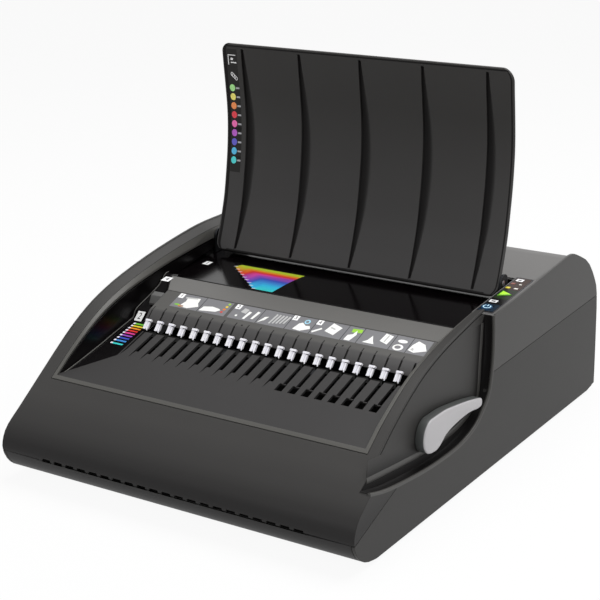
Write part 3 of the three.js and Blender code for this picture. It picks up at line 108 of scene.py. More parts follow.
table_mesh = bpy.data.meshes.new("table")
table_mesh.from_pydata([(x * table_half, y * table_half, 0) for x, y in ((-1, -1), (1, -1), (1, 1), (-1, 1))], [],
                       [(0, 1, 2, 3)])
table = bpy.data.objects.new("table", table_mesh)
scene.collection.objects.link(table)
# White laminate: it shows as plain white, and the share of its matt face that shows keeps the shadow.
table_top = bpy.data.materials.new("white_table_top")
table_top.use_nodes = True
tree = table_top.node_tree
tree.nodes.clear()
matt = node(tree, "ShaderNodeBsdfDiffuse", {"Color": linear("#e4e4e4")})
bright = node(tree, "ShaderNodeEmission", {"Color": white, "Strength": 1.0})
shown = node(tree, "ShaderNodeMixShader", {0: table_glow, 1: matt.outputs[0], 2: bright.outputs[0]})
top = node(tree, "ShaderNodeMixShader", {0: background_rays(tree), 1: matt.outputs[0], 2: shown.outputs[0]})
node(tree, "ShaderNodeOutputMaterial", {"Surface": top.outputs[0]})
table_mesh.materials.append(table_top)

lamps = [
    # name, place in metres, tilt about X and Z in degrees, width and depth in metres, watts
    ("overhead_softbox", (0.3, 0.5, 1.8), (-12, 12), (1.8, 1.4), 44),
    ("side_fill", (1.9, -1.3, 1.1), (64, 56), (1.4, 1.2), 8),
    ("front_card", (-0.4, -2.1, 1.3), (58, -11), (1.2, 0.8), 8),
]
for name, at, (tilt, turn), (width, depth), watts in lamps:
    lamp = bpy.data.lights.new(name, "AREA")
    lamp.shape = "RECTANGLE"
    lamp.size, lamp.size_y, lamp.energy = width, depth, watts
    holder = bpy.data.objects.new(name, lamp)
    holder.location = at
    holder.rotation_euler = (math.radians(tilt), 0, math.radians(turn))
    scene.collection.objects.link(holder)

# Front fascia: the nose and both rails, one moulding in charcoal ABS that snaps over the base. Its tool was
# spark eroded, so light spreads on it evenly, and its edges were left with a small radius.
cloud_mm, gloss_drift, plastic_ior = 70, 0.12, 1.5
weld_mm, flat_angle = 0.02, math.radians(0.4)


def new_material(name):
    """A material, its node tree, and the object coordinates that its patterns read."""
    material = bpy.data.materials.new(name)
    material.use_nodes = True
    return material, material.node_tree, node(material.node_tree, "ShaderNodeTexCoord").outputs["Object"]


def finished(material, inputs):
    """The material, with the named inputs of its main shader set or linked."""
    set_inputs(material.node_tree, material.node_tree.nodes["Principled BSDF"], inputs)
    return material


def moulded(name, color, roughness, grain_mm=0.8, depth_mm=0.02, drift=0.06, mirror=0.5):
    """A moulded plastic: the colour drifts a little over a hand's width, and fine noise gives the tool's grain."""
    material, tree, place = new_material(name)
    cloud = node(tree, "ShaderNodeTexNoise", {"Vector": place, "Scale": 1 / (cloud_mm * MM), "Detail": 2.0})
    grain = node(tree, "ShaderNodeTexNoise", {"Vector": place, "Scale": 1 / (grain_mm * MM), "Detail": 3.0})
    base = np.array(linear(color))
    low, high = (tuple((base * [k, k, k, 1]).tolist()) for k in (1 - drift, 1 + drift))
    tint = node(tree, "ShaderNodeMix", {0: cloud.outputs[0], 6: low, 7: high}, data_type="RGBA")
    gloss = node(tree, "ShaderNodeMapRange", {"Value": grain.outputs[0], "To Min": roughness * (1 - gloss_drift),
                                              "To Max": roughness * (1 + gloss_drift)})
    relief = node(tree, "ShaderNodeBump", {"Height": grain.outputs[0], "Distance": depth_mm * MM})
    return finished(material, {"Base Color": tint.outputs[2], "Roughness": gloss.outputs[0],
                               "Normal": relief.outputs[0], "IOR": plastic_ior, "Specular IOR Level": mirror})


def dress(material, bevel_mm, *names, segments=2, angle=30):
    """Gives CAD pieces a finish. Loose triangles are joined, flats are made whole and edges are rounded."""
    steps = {"WELD": {"merge_threshold": weld_mm * MM},
             "DECIMATE": {"decimate_type": "DISSOLVE", "angle_limit": flat_angle},
             "BEVEL": {"width": bevel_mm * MM, "segments": segments, "limit_method": "ANGLE",
                       "angle_limit": math.radians(angle), "use_clamp_overlap": False},
             "WEIGHTED_NORMAL": {}}
    for piece in (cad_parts[name] for name in names):
        piece.data.materials.clear()
        piece.data.materials.append(material)
        piece.data.polygons.foreach_set("use_smooth", [True] * len(piece.data.polygons))
        for kind, settings in steps.items():
            modifier = piece.modifiers.new(kind.lower(), kind)
            for setting, value in settings.items():
                setattr(modifier, setting, value)


def mix_base(material, share, low=None, high=None):
    """Mixes a second colour into a material's base by a share. The material's own colour stands at the end, low
    or high, that isn't given."""
    tree = material.node_tree
    own = tree.nodes["Principled BSDF"].inputs["Base Color"].links[0].from_socket
    ends = {6: linear(low) if low else own, 7: linear(high) if high else own}
    mixed = node(tree, "ShaderNodeMix", {0: share, **ends}, data_type="RGBA")
    finished(material, {"Base Color": mixed.outputs[2]})


def split_tone(material, axis, low_color, start_mm, end_mm):
    """Gives a material a second, low colour that passes into its own between two places along an axis."""
    tree = material.node_tree
    place = node(tree, "ShaderNodeTexCoord").outputs["Object"]
    along = node(tree, "ShaderNodeSeparateXYZ", {0: place}).outputs[axis]
    share = node(tree, "ShaderNodeMapRange", {"Value": along, "From Min": start_mm * MM, "From Max": end_mm * MM})
    mix_base(material, share.outputs[0], low=low_color)


# Injection-moulded ABS, spark-eroded tool: a matt charcoal that brightens softly towards the light. Its upright
# front is painted a shade darker than its top: painted shade, as the front faces away from the lamp.
charcoal_abs = moulded("charcoal_abs", "#3a3938", 0.45, mirror=0.15)
split_tone(charcoal_abs, "Z", "#242323", 42, 78)
dress(charcoal_abs, 0.7, "front_fascia", segments=3)

# Rear cover and base: the rear cover carries the deck and the upper sides, the base the floor and the lower
# sides. Both are the fascia's ABS, screwed together from below, with a fine open seam between them.
# The rear cover's top is painted paler than its upright sides and back: a painted sheen, where the top
# catches the lamp and the sky at a glancing angle.
top_abs = moulded("rear_cover_abs", "#5e5d5c", 0.45, mirror=0.2)
for axis, start, end in (("X", 193.6, 191.6), ("X", -193.6, -191.6), ("Y", 265.5, 262.0)):
    split_tone(top_abs, axis, "#403f3e", start, end)
dress(top_abs, 0.3, "rear_cover", angle=40)
# The base's ABS has the fascia's grain, painted a little darker: painted shade, as the base lies in its own shadow.
base_abs = moulded("base_abs", "#343332", 0.45, mirror=0.15)
dress(base_abs, 0.4, "base_housing")

# Recess behind the lever: a charcoal wall that stands in from the side, a trough under it that the lever dips
# into, painted black as painted shade, a soft ridge along the wall's lower edge, and the side's own rim, rolled
# over a little. Rim and ridge are painted paler, as a painted highlight.
rim_line_mm = [(-240.6, 67.2), (-219.2, 61.7), (-195.1, 57.6), (-151.3, 52.7), (-112.5, 50.5), (-71.6, 51.2),
               (-40.4, 58.2), (-21.7, 70.2), (-9.6, 83.5), (-4.7, 103.9), (-2.9, 124.8), (-3.5, 145.0),
               (-5.2, 159.8)]
ridge_line_mm = [(-229.6, 73.0), (-202.0, 69.8), (-166.0, 66.0), (-130.5, 62.9), (-92.0, 61.2), (-58.0, 62.6),
                 (-34.0, 67.4), (-20.5, 74.0), (-13.6, 84.0), (-11.9, 115.3), (-10.4, 138.0), (-10.0, 152.0)]
path_steps, merge_mm, sharp_angle = 96, 0.001, math.radians(38)


def through(points, steps):
    """A smooth line through the points: on each stretch a cubic, whose slope at a point is half the step from
    the point before to the point after."""
    p = np.asarray(points, float)
    t = np.linspace(0, len(p) - 1, steps + 1)
    i = np.minimum(t.astype(int), len(p) - 2)
    w = (t - i)[:, None]
    start, end = p[i], p[i + 1]
    leave = (end - p[np.maximum(i - 1, 0)]) / 2
    arrive = (p[np.minimum(i + 2, len(p) - 1)] - start) / 2
    return ((2 * start - 2 * end + leave + arrive) * w ** 3
            + (3 * end - 3 * start - 2 * leave - arrive) * w ** 2 + leave * w + start)


def grid_faces(rows, columns, round_columns=False):
    """The four-sided faces of a grid of points kept row by row, closed on itself where its rows go round."""
    r = np.arange(rows - 1)[:, None] * columns
    c = np.arange(columns if round_columns else columns - 1)[None, :]
    c_next = (c + 1) % columns
    return np.stack([r + c, r + c_next, r + columns + c_next, r + columns + c], -1).reshape(-1, 4).tolist()


def tube(rings):
    """A closed solid from rings of points: its sides run from ring to ring, and a face closes each end."""
    rings = np.asarray(rings, float)
    rows, columns = rings.shape[:2]
    faces = grid_faces(rows, columns, round_columns=True)
    faces += [list(range(columns)), list(range((rows - 1) * columns, rows * columns))]
    return rings.reshape(-1, 3), faces


def new_piece(name, points_mm, faces, body, slot, materials, colors=None, picks=None):
    """A mesh piece from its points and faces, with its doubles merged and its faces turned outwards. Colours
    go into an attribute by point, and picks says which of the materials each face has."""
    mesh = bpy.data.meshes.new(name)
    mesh.from_pydata((np.asarray(points_mm, float) * MM).tolist(), [], faces)
    for material in materials:
        mesh.materials.append(material)
    if colors is not None:
        ink = mesh.color_attributes.new("ink", "FLOAT_COLOR", "POINT")
        ink.data.foreach_set("color", np.asarray(colors, float).ravel())
    if picks is not None:
        mesh.polygons.foreach_set("material_index", picks)
    shape = bmesh.new()
    shape.from_mesh(mesh)
    bmesh.ops.remove_doubles(shape, verts=shape.verts, dist=merge_mm * MM)
    bmesh.ops.recalc_face_normals(shape, faces=shape.faces)
    shape.to_mesh(mesh)
    shape.free()
    mesh.polygons.foreach_set("use_smooth", [True] * len(mesh.polygons))
    mesh.set_sharp_from_angle(angle=sharp_angle)
    piece = bpy.data.objects.new(name, mesh)
    scene.collection.objects.link(piece)
    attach(piece, body)
    return piece


def across_path(path):
    """At each point of a flat path, the unit direction to the left of its travel."""
    along = np.gradient(path, axis=0)
    left = np.stack([-along[:, 1], along[:, 0]], -1)
    return left / np.linalg.norm(left, axis=1)[:, None]


def carried(outer, inner, profile):
    """A closed profile carried along the side. A profile point has its place across the machine, its share of
    the way from the outer to the inner path, and its lift square to the outer path."""
    x, share, lift = np.asarray(profile, float).T
    flat = (outer[:, None] + share[None, :, None] * (inner - outer)[:, None]
            + lift[None, :, None] * across_path(outer)[:, None])
    return tube(np.concatenate([np.broadcast_to(x[None, :, None], (*flat.shape[:2], 1)), flat], -1))


rim_path, ridge_path = through(rim_line_mm, path_steps), through(ridge_line_mm, path_steps)
rim_profile = [(191.5, 0, -1.0), (191.5, 0, 0.2), (191.9, 0, 0.9), (192.6, 0, 1.25), (193.5, 0, 1.3),
               (194.2, 0, 1.0), (194.7, 0, 0.35), (194.86, 0, -0.5), (194.86, 0, -1.5), (194.0, 0, -1.6)]
trough_profile = [(191.6, 0, 0.35), (188.0, 0, 0.3), (185.6, 0.02, 0.35), (184.7, 0.12, 0), (184.3, 0.4, 0),
                  (184.2, 1.0, 0), (184.02, 1.0, 0), (184.02, 0.05, 0), (184.4, 0, 0.1), (191.6, 0, 0.1)]
ridge_profile = [(183.95, 0, -3.4), (184.25, 0, -2.9), (184.46, 0, -1.6), (184.54, 0, 0), (184.46, 0, 1.6),
                 (184.25, 0, 2.9), (183.95, 0, 3.4), (183.8, 0, 0)]
# The rim and the ridge are smoother than the wall, and painted paler: a painted highlight along their rounded edges.
ridge_abs = moulded("highlight_charcoal_abs", "#434240", 0.36, mirror=0.25)
# The same ABS where little light comes in: the trough's texture is left coarser, and it is painted full black as
# painted shade.
trough_abs = moulded("painted_shade_trough_abs", "#0b0909", 0.6, mirror=0.15)
for name, inner, outer, profile, finish in (("recess_rim", ridge_path, rim_path, rim_profile, ridge_abs),
                                            ("recess_trough", ridge_path, rim_path, trough_profile, trough_abs),
                                            ("recess_ridge", ridge_path, ridge_path, ridge_profile, ridge_abs)):
    new_piece(name, *carried(outer, inner, profile), "root", "charcoal_plastic", [finish])


def darkened(material, dark):
    """Paints shade into a material: its colour falls to a dark one where the piece's ink attribute rises to one."""
    mix_base(material, node(material.node_tree, "ShaderNodeVertexColor", layer_name="ink").outputs["Color"],
             high=dark)


def painted_shade_colors(shares):
    """The ink attribute's colours for a share of painted shade at each point."""
    return np.column_stack([shares, shares, shares, np.ones(len(shares))])


# The fascia's ABS again: the wall takes its light from the side only. A thin strip on the wall carries a soft
# shadow painted over the ridge: painted shade, darkest at the ridge.
recess_abs, painted_shadow_abs = (moulded(name, "#383736", 0.45, mirror=0.15) for name in ("recess_abs", "painted_shadow_recess_abs"))
darkened(painted_shadow_abs, "#0c0a0a")
dress(recess_abs, 0.4, "recess_panel")
hollow_face, hollow_back, hollow_lean = 184.3, 183.9, 0.25
hollow_foot, hollow_width, hollow_rows, hollow_fade = 3.0, 15.0, 12, 1.3
hollow_share = np.linspace(0, 1, hollow_rows)
hollow_lift = hollow_foot + hollow_share * hollow_width
hollow_profile = [(hollow_face - hollow_lean * share, 0, lift) for share, lift in zip(hollow_share, hollow_lift)]
hollow_profile += [(hollow_back, 0, lift) for lift in hollow_lift[::-1]]
fall = (1 - np.concatenate([hollow_share, hollow_share[::-1]])) ** hollow_fade
new_piece("recess_painted_shadow", *carried(ridge_path, ridge_path, hollow_profile), "root", "charcoal_plastic",
          [painted_shadow_abs], painted_shade_colors(np.tile(fall, path_steps + 1)))

# Opening lip: a thin strip of satin ABS, a shade paler, that is pressed into the fascia round the opening.
# A fine dark joint shows along its outer side.
# ABS with a satin finish, a little smoother than the shell and painted paler, so that it draws a light line:
# partly the strip's own tone, partly a painted highlight along the edge.
satin_abs = moulded("satin_lip_abs", "#504f4c", 0.4, depth_mm=0.012, mirror=0.25)
dress(satin_abs, 0.6, "opening_lip", segments=3)

# Side liners: polished black ABS panels that close the opening's two sides, held by the lip. Paper rubs on
# them, so their polish is duller than the deck's.
# Polished ABS has no grain: it is black, and it mirrors what lies near it. Rubbed to satin, it mirrors less.
piano_abs = moulded("polished_black_abs", "#060405", 0.14, grain_mm=6, depth_mm=0.002, drift=0.0, mirror=0.4)
wall_abs = moulded("satin_black_abs", "#060405", 0.3, grain_mm=4, depth_mm=0.004, drift=0.0, mirror=0.2)
dress(wall_abs, 0.3, "left_wall_liner", "right_wall_liner")

# Comb tray: one moulding that leans back, with a slot for each hook and a wide notch at the slot's foot. On the
# left the notches are blind: their floors are closed, but for a pointed slit at the left of each.
hook_row_y, hook_foot_z = -117.291, 118.197
tray_slope = math.radians(17)
hook_pitch, hook_count, row_middle = 14.2875, 21, 10.225
hook_xs = (np.arange(hook_count) - (hook_count - 1) / 2) * hook_pitch + row_middle


def on_slope(y0, z0, slope, along=False):
    """Places flat work on a plane that rises towards the rear. A point has its place across, its place to the
    rear, or up the slope from its foot if along is set, and its lift square to the plane."""
    def place(points):
        x, s, lift = np.asarray(points, float).T
        ahead = s * math.cos(slope) if along else s - y0
        return np.stack([x, y0 + ahead - lift * math.sin(slope),
                         z0 + ahead * math.tan(slope) + lift * math.cos(slope)], -1)
    return place


def between(start, end):
    """The slope's place function for a flat that runs from one (y, z) to another."""
    return on_slope(*start, math.atan2(end[1] - start[1], end[0] - start[0]))


def rectangle(x0, y0, x1, y1):
    """The outline of a rectangle between two corners."""
    return [(x0, y0), (x1, y0), (x1, y1), (x0, y1)]


def slab(outline, low, high):
    """A flat prism: its outline at the low and at the high lift, closed at both ends and round its sides."""
    flat = np.asarray(outline, float)
    n = len(flat)
    rings = [np.column_stack([flat, np.full(n, lift)]) for lift in (low, high)]
    sides = [(i, (i + 1) % n, n + (i + 1) % n, n + i) for i in range(n)]
    return np.concatenate(rings), [tuple(range(n)), tuple(range(n, 2 * n)), *sides]


def joined(solids):
    """Several closed solids as one list of points and one list of faces."""
    points, faces, start = [], [], 0
    for part, part_faces in solids:
        points.append(part)
        faces += [tuple(start + i for i in face) for face in part_faces]
        start += len(part)
    return np.concatenate(points), faces


# ABS, textured like the fascia, painted darker: painted shade, as it faces the reader and away from the lamp.
tray_abs = moulded("tray_abs", "#302f2f", 0.45, mirror=0.12)
on_tray = on_slope(hook_row_y, hook_foot_z, tray_slope, along=True)
tray_left, tray_right, tray_front, tray_rear, tray_thick = -174.9, 169.7, -93.1, -1.6, 2.5
shoulder_x, shoulder_front, corner_front, skirt_low, skirt_thick = -137.05, -45.0, -90.1, -12.0, 1.0
blind_notches, slot_front, slit_front, slit_lift, slit_point = 13, -33.4, -45.0, 0.2, 0.3
blind_left, blind_right, open_left, open_right = -6.2, -0.9, -4.0, 0.4
slit_width, least_wall = 2.0, 1.2
notch_front, notch_rear, notch_left, notch_right = -44.4, -33.4, -7.2, 0.9
bridge_front, bridge_rear = -34.3, -33.5
edge = [(tray_left, tray_front), (tray_right, tray_front), (tray_right, tray_rear)]
for i, x in reversed(list(enumerate(hook_xs))):
    if i < blind_notches:
        left, right = max(x + blind_left, shoulder_x + least_wall), x + blind_right
        foot = [(left + slit_width, slot_front - slit_lift), (left + slit_point, slit_front)]
    else:
        left, right = x + open_left, x + open_right
        foot = [(x + notch_right, notch_rear), (x + notch_right, notch_front), (x + notch_left, notch_front),
                (x + notch_left, notch_rear)]
    edge += [(right, tray_rear), (right, slot_front), *foot, (left, slot_front), (left, tray_rear)]
edge += [(shoulder_x, tray_rear), (shoulder_x, shoulder_front), (tray_left, corner_front)]
skirt = rectangle(shoulder_x, shoulder_front, shoulder_x + skirt_thick, tray_rear)
bridges = [slab(rectangle(x + open_left, bridge_front, x + open_right, bridge_rear), -tray_thick / 2, 0)
           for x in hook_xs[blind_notches:]]
points, faces = joined([slab(edge, -tray_thick, 0), slab(skirt, skirt_low, -tray_thick), *bridges])
tray = new_piece("comb_tray_plate", on_tray(points), faces, "root", "charcoal_plastic", [tray_abs])
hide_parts("comb_tray")

# Hooks: three white rows of acetal, moulded on strips that sit on the rack. Each hook is a blade that leans
# back, split by a groove, with a flat cap whose right end overhangs a small gap, painted black as painted shade.
# Acetal: slightly waxy, cold white, so a little light goes into it.
hook_acetal = finished(moulded("white_acetal", "#f4f3fa", 0.34, grain_mm=1.5, depth_mm=0.004, drift=0.01),
                       {"Subsurface Weight": 0.08, "Subsurface Radius": (0.001, 0.001, 0.0012)})
# Glass-filled nylon, dyed black, half matt: the strips that carry the hooks are over-moulded in it. The gap
# under each hook's cap takes it too: painted shade.
black_nylon_and_painted_shade = moulded("black_nylon_and_painted_shade", "#0d0d0c", 0.6, mirror=0.12)
blade_lean, blade_length, blade_thick, blade_squat = math.radians(36), 11.6, 1.5, 0.86
blade_left, groove_left, groove_right, blade_right = -6.0, -2.75, -2.25, -0.3
left_foot, right_foot, back_foot, face_thick, gap_lift = 2.0, 0.8, 3.1, 0.9, 0.1
cap_right, cap_height, cap_front, cap_lap, gap_height, corner_cut = 0.6, 2.3, 1.5, 0.05, 0.9, 0.4


def hook_solids(x):
    """One hook in the blade's own plane: its place across, up the blade, and its lift forwards from it. The
    last solid is the gap under the cap, painted black as painted shade."""
    top, foot, gap_foot = blade_length + cap_height, blade_length - cap_lap, blade_length - gap_height
    cap = [(blade_left, foot), (cap_right, foot), (cap_right, top - corner_cut), (cap_right - corner_cut, top),
           (blade_left + corner_cut, top), (blade_left, top - corner_cut)]
    shapes = [(rectangle(blade_left, back_foot, blade_right, blade_length), -blade_thick, 0),
              (rectangle(blade_left, left_foot, groove_left, blade_length), 0, face_thick),
              (rectangle(groove_right, right_foot, blade_right, gap_foot), 0, face_thick),
              (cap, -blade_thick, cap_front),
              (rectangle(groove_left, gap_foot, blade_right, blade_length), -blade_thick / 2, gap_lift)]
    return [slab([(x + u, v) for u, v in outline], low, high) for outline, low, high in shapes]


def on_blade(points):
    """Turns a point of the blade's plane into place: up the blade leans back, and lift comes forwards. The
    blade's rise is drawn in by a share, as its real edge is bowed."""
    x, up, lift = np.asarray(points, float).T
    y = hook_row_y + up * math.sin(blade_lean) - lift * math.cos(blade_lean)
    z = hook_foot_z + up * math.cos(blade_lean) * blade_squat + lift * math.sin(blade_lean)
    return np.stack([x, y, z], -1)


strip_front, strip_rear, strip_low, strip_high, strip_end = -2.5, 5.0, -5.7, -3.9, 2.6
neck_left, neck_right, neck_rear, neck_high = -3.1, -1.3, 2.4, 1.8
for name, first, last in (("left", 0, 7), ("middle", 7, 14), ("right", 14, 21)):
    xs = hook_xs[first:last]
    base = [slab(rectangle(xs[0] - strip_end, strip_front, xs[-1] + strip_end, strip_rear), strip_low, strip_high)]
    base += [slab(rectangle(x + neck_left, 0, x + neck_right, neck_rear), strip_low, neck_high) for x in xs]
    solids = [hook_solids(x) for x in xs]
    blades, blade_faces = joined([solid for hook in solids for solid in hook[:-1]])
    gaps, gap_faces = joined([hook[-1] for hook in solids])
    strips, strip_faces = joined(base)
    points, faces = joined([(on_blade(blades), blade_faces), (on_blade(gaps), gap_faces),
                            (on_tray(strips), strip_faces)])
    # The gaps under the caps take the black material: painted shade.
    picks = [0] * len(blade_faces) + [1] * (len(gap_faces) + len(strip_faces))
    hooks = new_piece(f"hook_row_{name}", points, faces, "hooks", "hook_white", [hook_acetal, black_nylon_and_painted_shade],
                      picks=picks)
    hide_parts(f"hooks_{name}")

# Rack under the tray: a steel bar with two toothed rails, in nylon stirrups that are clipped under the tray. Bar
# and stirrups are coloured black so that the slots show dark: painted shade.


def metal(name, color, roughness):
    """A metal surface: fine noise varies its gloss and gives the marks of rolling or grinding."""
    return finished(moulded(name, color, roughness, grain_mm=0.5, depth_mm=0.01, drift=0.04), {"Metallic": 1.0})


# Blackened steel: an oxide skin, dark and half matt. On the rack its black also stands in for the shade in
# the slots: painted shade.
black_steel = metal("blackened_steel_and_shade", "#2b2c2e", 0.45)
dress(black_steel, 0.15, "rack_bar")
dress(black_nylon_and_painted_shade, 0.3, "rack_guide_left", "rack_guide_right")

# Guide plate: one grey moulding behind the hooks, with a finger beside each hook, a printed label field and
# the throat's front wall. The printed strip is a polyester label, silk-screened in grey and white.
# ABS moulded in mid grey, satin: the plate catches the light from above. Its steep fingers catch less of it
# and are painted darker: painted shade.
grey_abs = moulded("grey_abs", "#4b4a48", 0.45, mirror=0.2)
split_tone(grey_abs, "Y", "#3a3939", -98.4, -95.0)
dress(grey_abs, 0.3, "guide_plate")
film_mm, ink_gloss, ink_mirror, ink_step = 1.2, (0.32, 0.5), 0.15, 0.05


def screen_ink(name, glow=0.0):
    """Screen-printed ink: its colour is the piece's own ink attribute, and fine noise varies its gloss."""
    material, tree, place = new_material(name)
    ink = node(tree, "ShaderNodeVertexColor", layer_name="ink").outputs["Color"]
    film = node(tree, "ShaderNodeTexNoise", {"Vector": place, "Scale": 1 / (film_mm * MM), "Detail": 2.0})
    gloss = node(tree, "ShaderNodeMapRange", {"Value": film.outputs[0], "To Min": ink_gloss[0],
                                              "To Max": ink_gloss[1]})
    finished(material, {"Base Color": ink, "Roughness": gloss.outputs[0], "Specular IOR Level": ink_mirror})
    return finished(material, {"Emission Color": ink, "Emission Strength": glow}) if glow else material


# Silk-screen ink: a thin, half-glossy film that stands a little proud. It also draws the black slits and screw
# holes on the guide plate: painted shade.
print_and_shade_ink = screen_ink("screen_ink")


def digit(text, x, y, size):
    """A plain figure, centred on a point, as a closed prism between lifts 0 and 1."""
    curve = bpy.data.curves.new("figure", "FONT")
    curve.body, curve.size, curve.align_x, curve.align_y = text, size, "CENTER", "CENTER"
    curve.extrude = 0.5
    holder = bpy.data.objects.new("figure", curve)
    shape = bpy.data.meshes.new_from_object(holder)
    points = np.empty(len(shape.vertices) * 3)
    shape.vertices.foreach_get("co", points)
    points = points.reshape(-1, 3) + [x, y, 0.5]
    faces = [tuple(face.vertices) for face in shape.polygons]
    bpy.data.objects.remove(holder)
    bpy.data.curves.remove(curve)
    bpy.data.meshes.remove(shape)
    return points, faces


def print_on(name, marks, place, body, slot, material=print_and_shade_ink):
    """Prints: each mark is a layer number, a colour and an outline, or a solid that digit() made. A layer lies
    one step of ink above the one before, and place carries the flat work to the surface."""
    solids, colors = [], []
    for layer, color, shape in marks:
        if isinstance(shape, tuple):
            points, faces = shape
            points = points * [1, 1, ink_step] + [0, 0, ink_step * layer]
        else:
            points, faces = slab(shape, -ink_step, ink_step * (layer + 1))
        solids.append((points, faces))
        colors.append(np.tile(linear(color), (len(points), 1)))
    points, faces = joined(solids)
    return new_piece(name, place(points), faces, body, slot, [material], np.concatenate(colors))


def round_mark(x, y, width, depth=None, sides=20):
    """A disc, or an ellipse where depth is given."""
    t = np.arange(sides) / sides * math.tau
    return np.stack([x + width / 2 * np.cos(t), y + (depth or width) / 2 * np.sin(t)], -1).tolist()


def tag(text, x, y, width, depth, size):
    """A white tag with a plain black figure."""
    plate = rectangle(x - width / 2, y - depth / 2, x + width / 2, y + depth / 2)
    return [(1, "#f4f4f4", plate), (2, "#141414", digit(text, x, y, size))]


def placed_icon(icon, x, y, width, depth):
    """An icon's marks in a cell, given the cell's corner and its size."""
    marks = []
    for layer, color, shape in icon:
        if isinstance(shape, tuple):
            u, v, across, *deep = shape
            shape = round_mark(x + u * width, y + v * depth, across * width, *(share * depth for share in deep))
        else:
            shape = [(x + u * width, y + v * depth) for u, v in shape]
        marks.append((layer, color, shape))
    return marks


guide_line = [(-108.0, 124.5), (-98.0, 134.5), (-67.1, 146.3)]
on_guide, on_fingers = between(guide_line[1], guide_line[2]), between(guide_line[0], guide_line[1])
label_front, label_rear, label_gap, line_half = -88.2, -67.6, (-60, -56), 0.35
cell_edges = [-126, -92.5, -60, -22.5, 11, 38.5, 73.5, 90.6, 125.2, 143, 163]
strip_grey, line_dark, icon_white, icon_shade = "#77777a", "#2e2e2f", "#ecece9", "#b9b9b8"
hand = [(0.3, 0.1), (0.62, 0.06), (0.94, 0.3), (0.86, 0.48), (0.7, 0.44), (0.52, 0.62), (0.4, 0.52)]
tongue = [(0.5, 0.1), (0.58, 0.1), (0.66, 0.62), (0.56, 0.66)]
icons = {
    # Generic pictures, one for each cell. A list is an outline, as shares of the cell. A tuple is a disc: its
    # middle, its width and its depth, or no depth where it is round.
    "sheets": [(1, icon_white, [(0.42, 0.3), (0.86, 0.36), (0.8, 0.86), (0.36, 0.8)]),
               (2, icon_shade, [(0.3, 0.7), (0.72, 0.78), (0.7, 0.86), (0.3, 0.8)]), (2, icon_white, hand),
               (1, "#7ab648", (0.2, 0.2, 0.2, 0.12)), (2, "#e08a2e", (0.36, 0.14, 0.2, 0.12))],
    "pointing": [(1, icon_white, [(0.04, 0.08), (0.62, 0.2), (0.74, 0.36), (0.66, 0.44), (0.4, 0.5), (0.1, 0.4)]),
                 *[(1, color, (0.88 - 0.02 * i, 0.86 - 0.2 * i, 0.09, 0.13))
                   for i, color in enumerate(("#9acb3c", "#e6c52e", "#e07a2c", "#c93a34"))]],
    "tongues": [(1, icon_shade, [(0.3, 0.52), (0.5, 0.46), (0.52, 0.76), (0.34, 0.82)]), (1, icon_white, tongue),
                (1, icon_white, [(u + 0.26, v + 0.1) for u, v in tongue]), (1, icon_white, (0.24, 0.24, 0.08))],
    "teeth": [(1, icon_white, [(0.04, 0.06), (0.22, 0.3), (0.28, 0.56), (0.16, 0.5)]),
              *[(1, icon_shade, [(0.4 + 0.11 * i, 0.14 + 0.04 * i), (0.45 + 0.11 * i, 0.14 + 0.04 * i),
                                 (0.52 + 0.11 * i, 0.8), (0.46 + 0.11 * i, 0.84)]) for i in range(5)]],
    "ring": [(1, icon_white, hand), (1, "#9fd2e6", (0.66, 0.72, 0.22, 0.3)),
             (2, strip_grey, (0.66, 0.72, 0.12, 0.16))],
    "page": [(1, icon_white, [(0.5, 0.96), (0.84, 0.76), (0.72, 0.2), (0.4, 0.36)]),
             (2, icon_shade, [(0.52, 0.7), (0.68, 0.62), (0.66, 0.54), (0.5, 0.62)]),
             (1, icon_white, [(0.08, 0.1), (0.3, 0.44), (0.26, 0.52), (0.04, 0.2)])],
    "press": [(1, "#93c83d", [(0.34, 0.62), (0.96, 0.66), (0.92, 0.9), (0.3, 0.86)]),
              (2, icon_white, [(0.2, 0.06), (0.56, 0.06), (0.74, 0.5), (0.62, 0.78), (0.5, 0.5), (0.24, 0.4)])],
    "books": [(1, icon_white, [(0.16, 0.14), (0.52, 0.14), (0.44, 0.34), (0.34, 0.66), (0.28, 0.34)]),
              (1, icon_white, [(0.62, 0.42), (0.88, 0.28), (0.92, 0.86), (0.66, 0.96)]),
              (2, icon_shade, [(0.74, 0.4), (0.78, 0.38), (0.8, 0.86), (0.76, 0.88)])],
    "cup": [(1, icon_white, (0.5, 0.66, 0.56, 0.22)), (1, icon_white, (0.46, 0.24, 0.6, 0.4)),
            (2, strip_grey, (0.44, 0.25, 0.36, 0.22))],
    "palm": [(1, icon_white, [(0.06, 0.2), (0.4, 0.1), (0.96, 0.34), (0.7, 0.72), (0.3, 0.86), (0.12, 0.56)]),
             (2, icon_shade, [(0.16, 0.24), (0.34, 0.2), (0.3, 0.34), (0.2, 0.4)])],
}
marks = [(0, strip_grey, rectangle(left, label_front, right, label_rear))
         for left, right in ((cell_edges[0], label_gap[0]), (label_gap[1], cell_edges[-1]))]
marks += [(1, line_dark, rectangle(x - line_half, label_front, x + line_half, label_rear))
          for x in cell_edges[1:2] + cell_edges[3:-1]]
cell_lefts = [label_gap[1] if x == label_gap[0] else x for x in cell_edges]
for icon, left, right in zip(icons.values(), cell_lefts, cell_edges[1:]):
    marks += placed_icon(icon, left, label_front, right - left, label_rear - label_front)
for cell, text in ((0, "1"), (2, "2"), (4, "3"), (5, "4")):
    marks += tag(text, cell_lefts[cell] + 3.6, label_rear - 3.4, 6.2, 6.6, 6.4)
print_on("label_strip", marks, on_guide, "root", "grey_moulding")
slit_half, slit_lead = 0.6, 7.3
screw_xs, screw_y, screw_width = (-33.1, 81.1), -95.0, 2.2


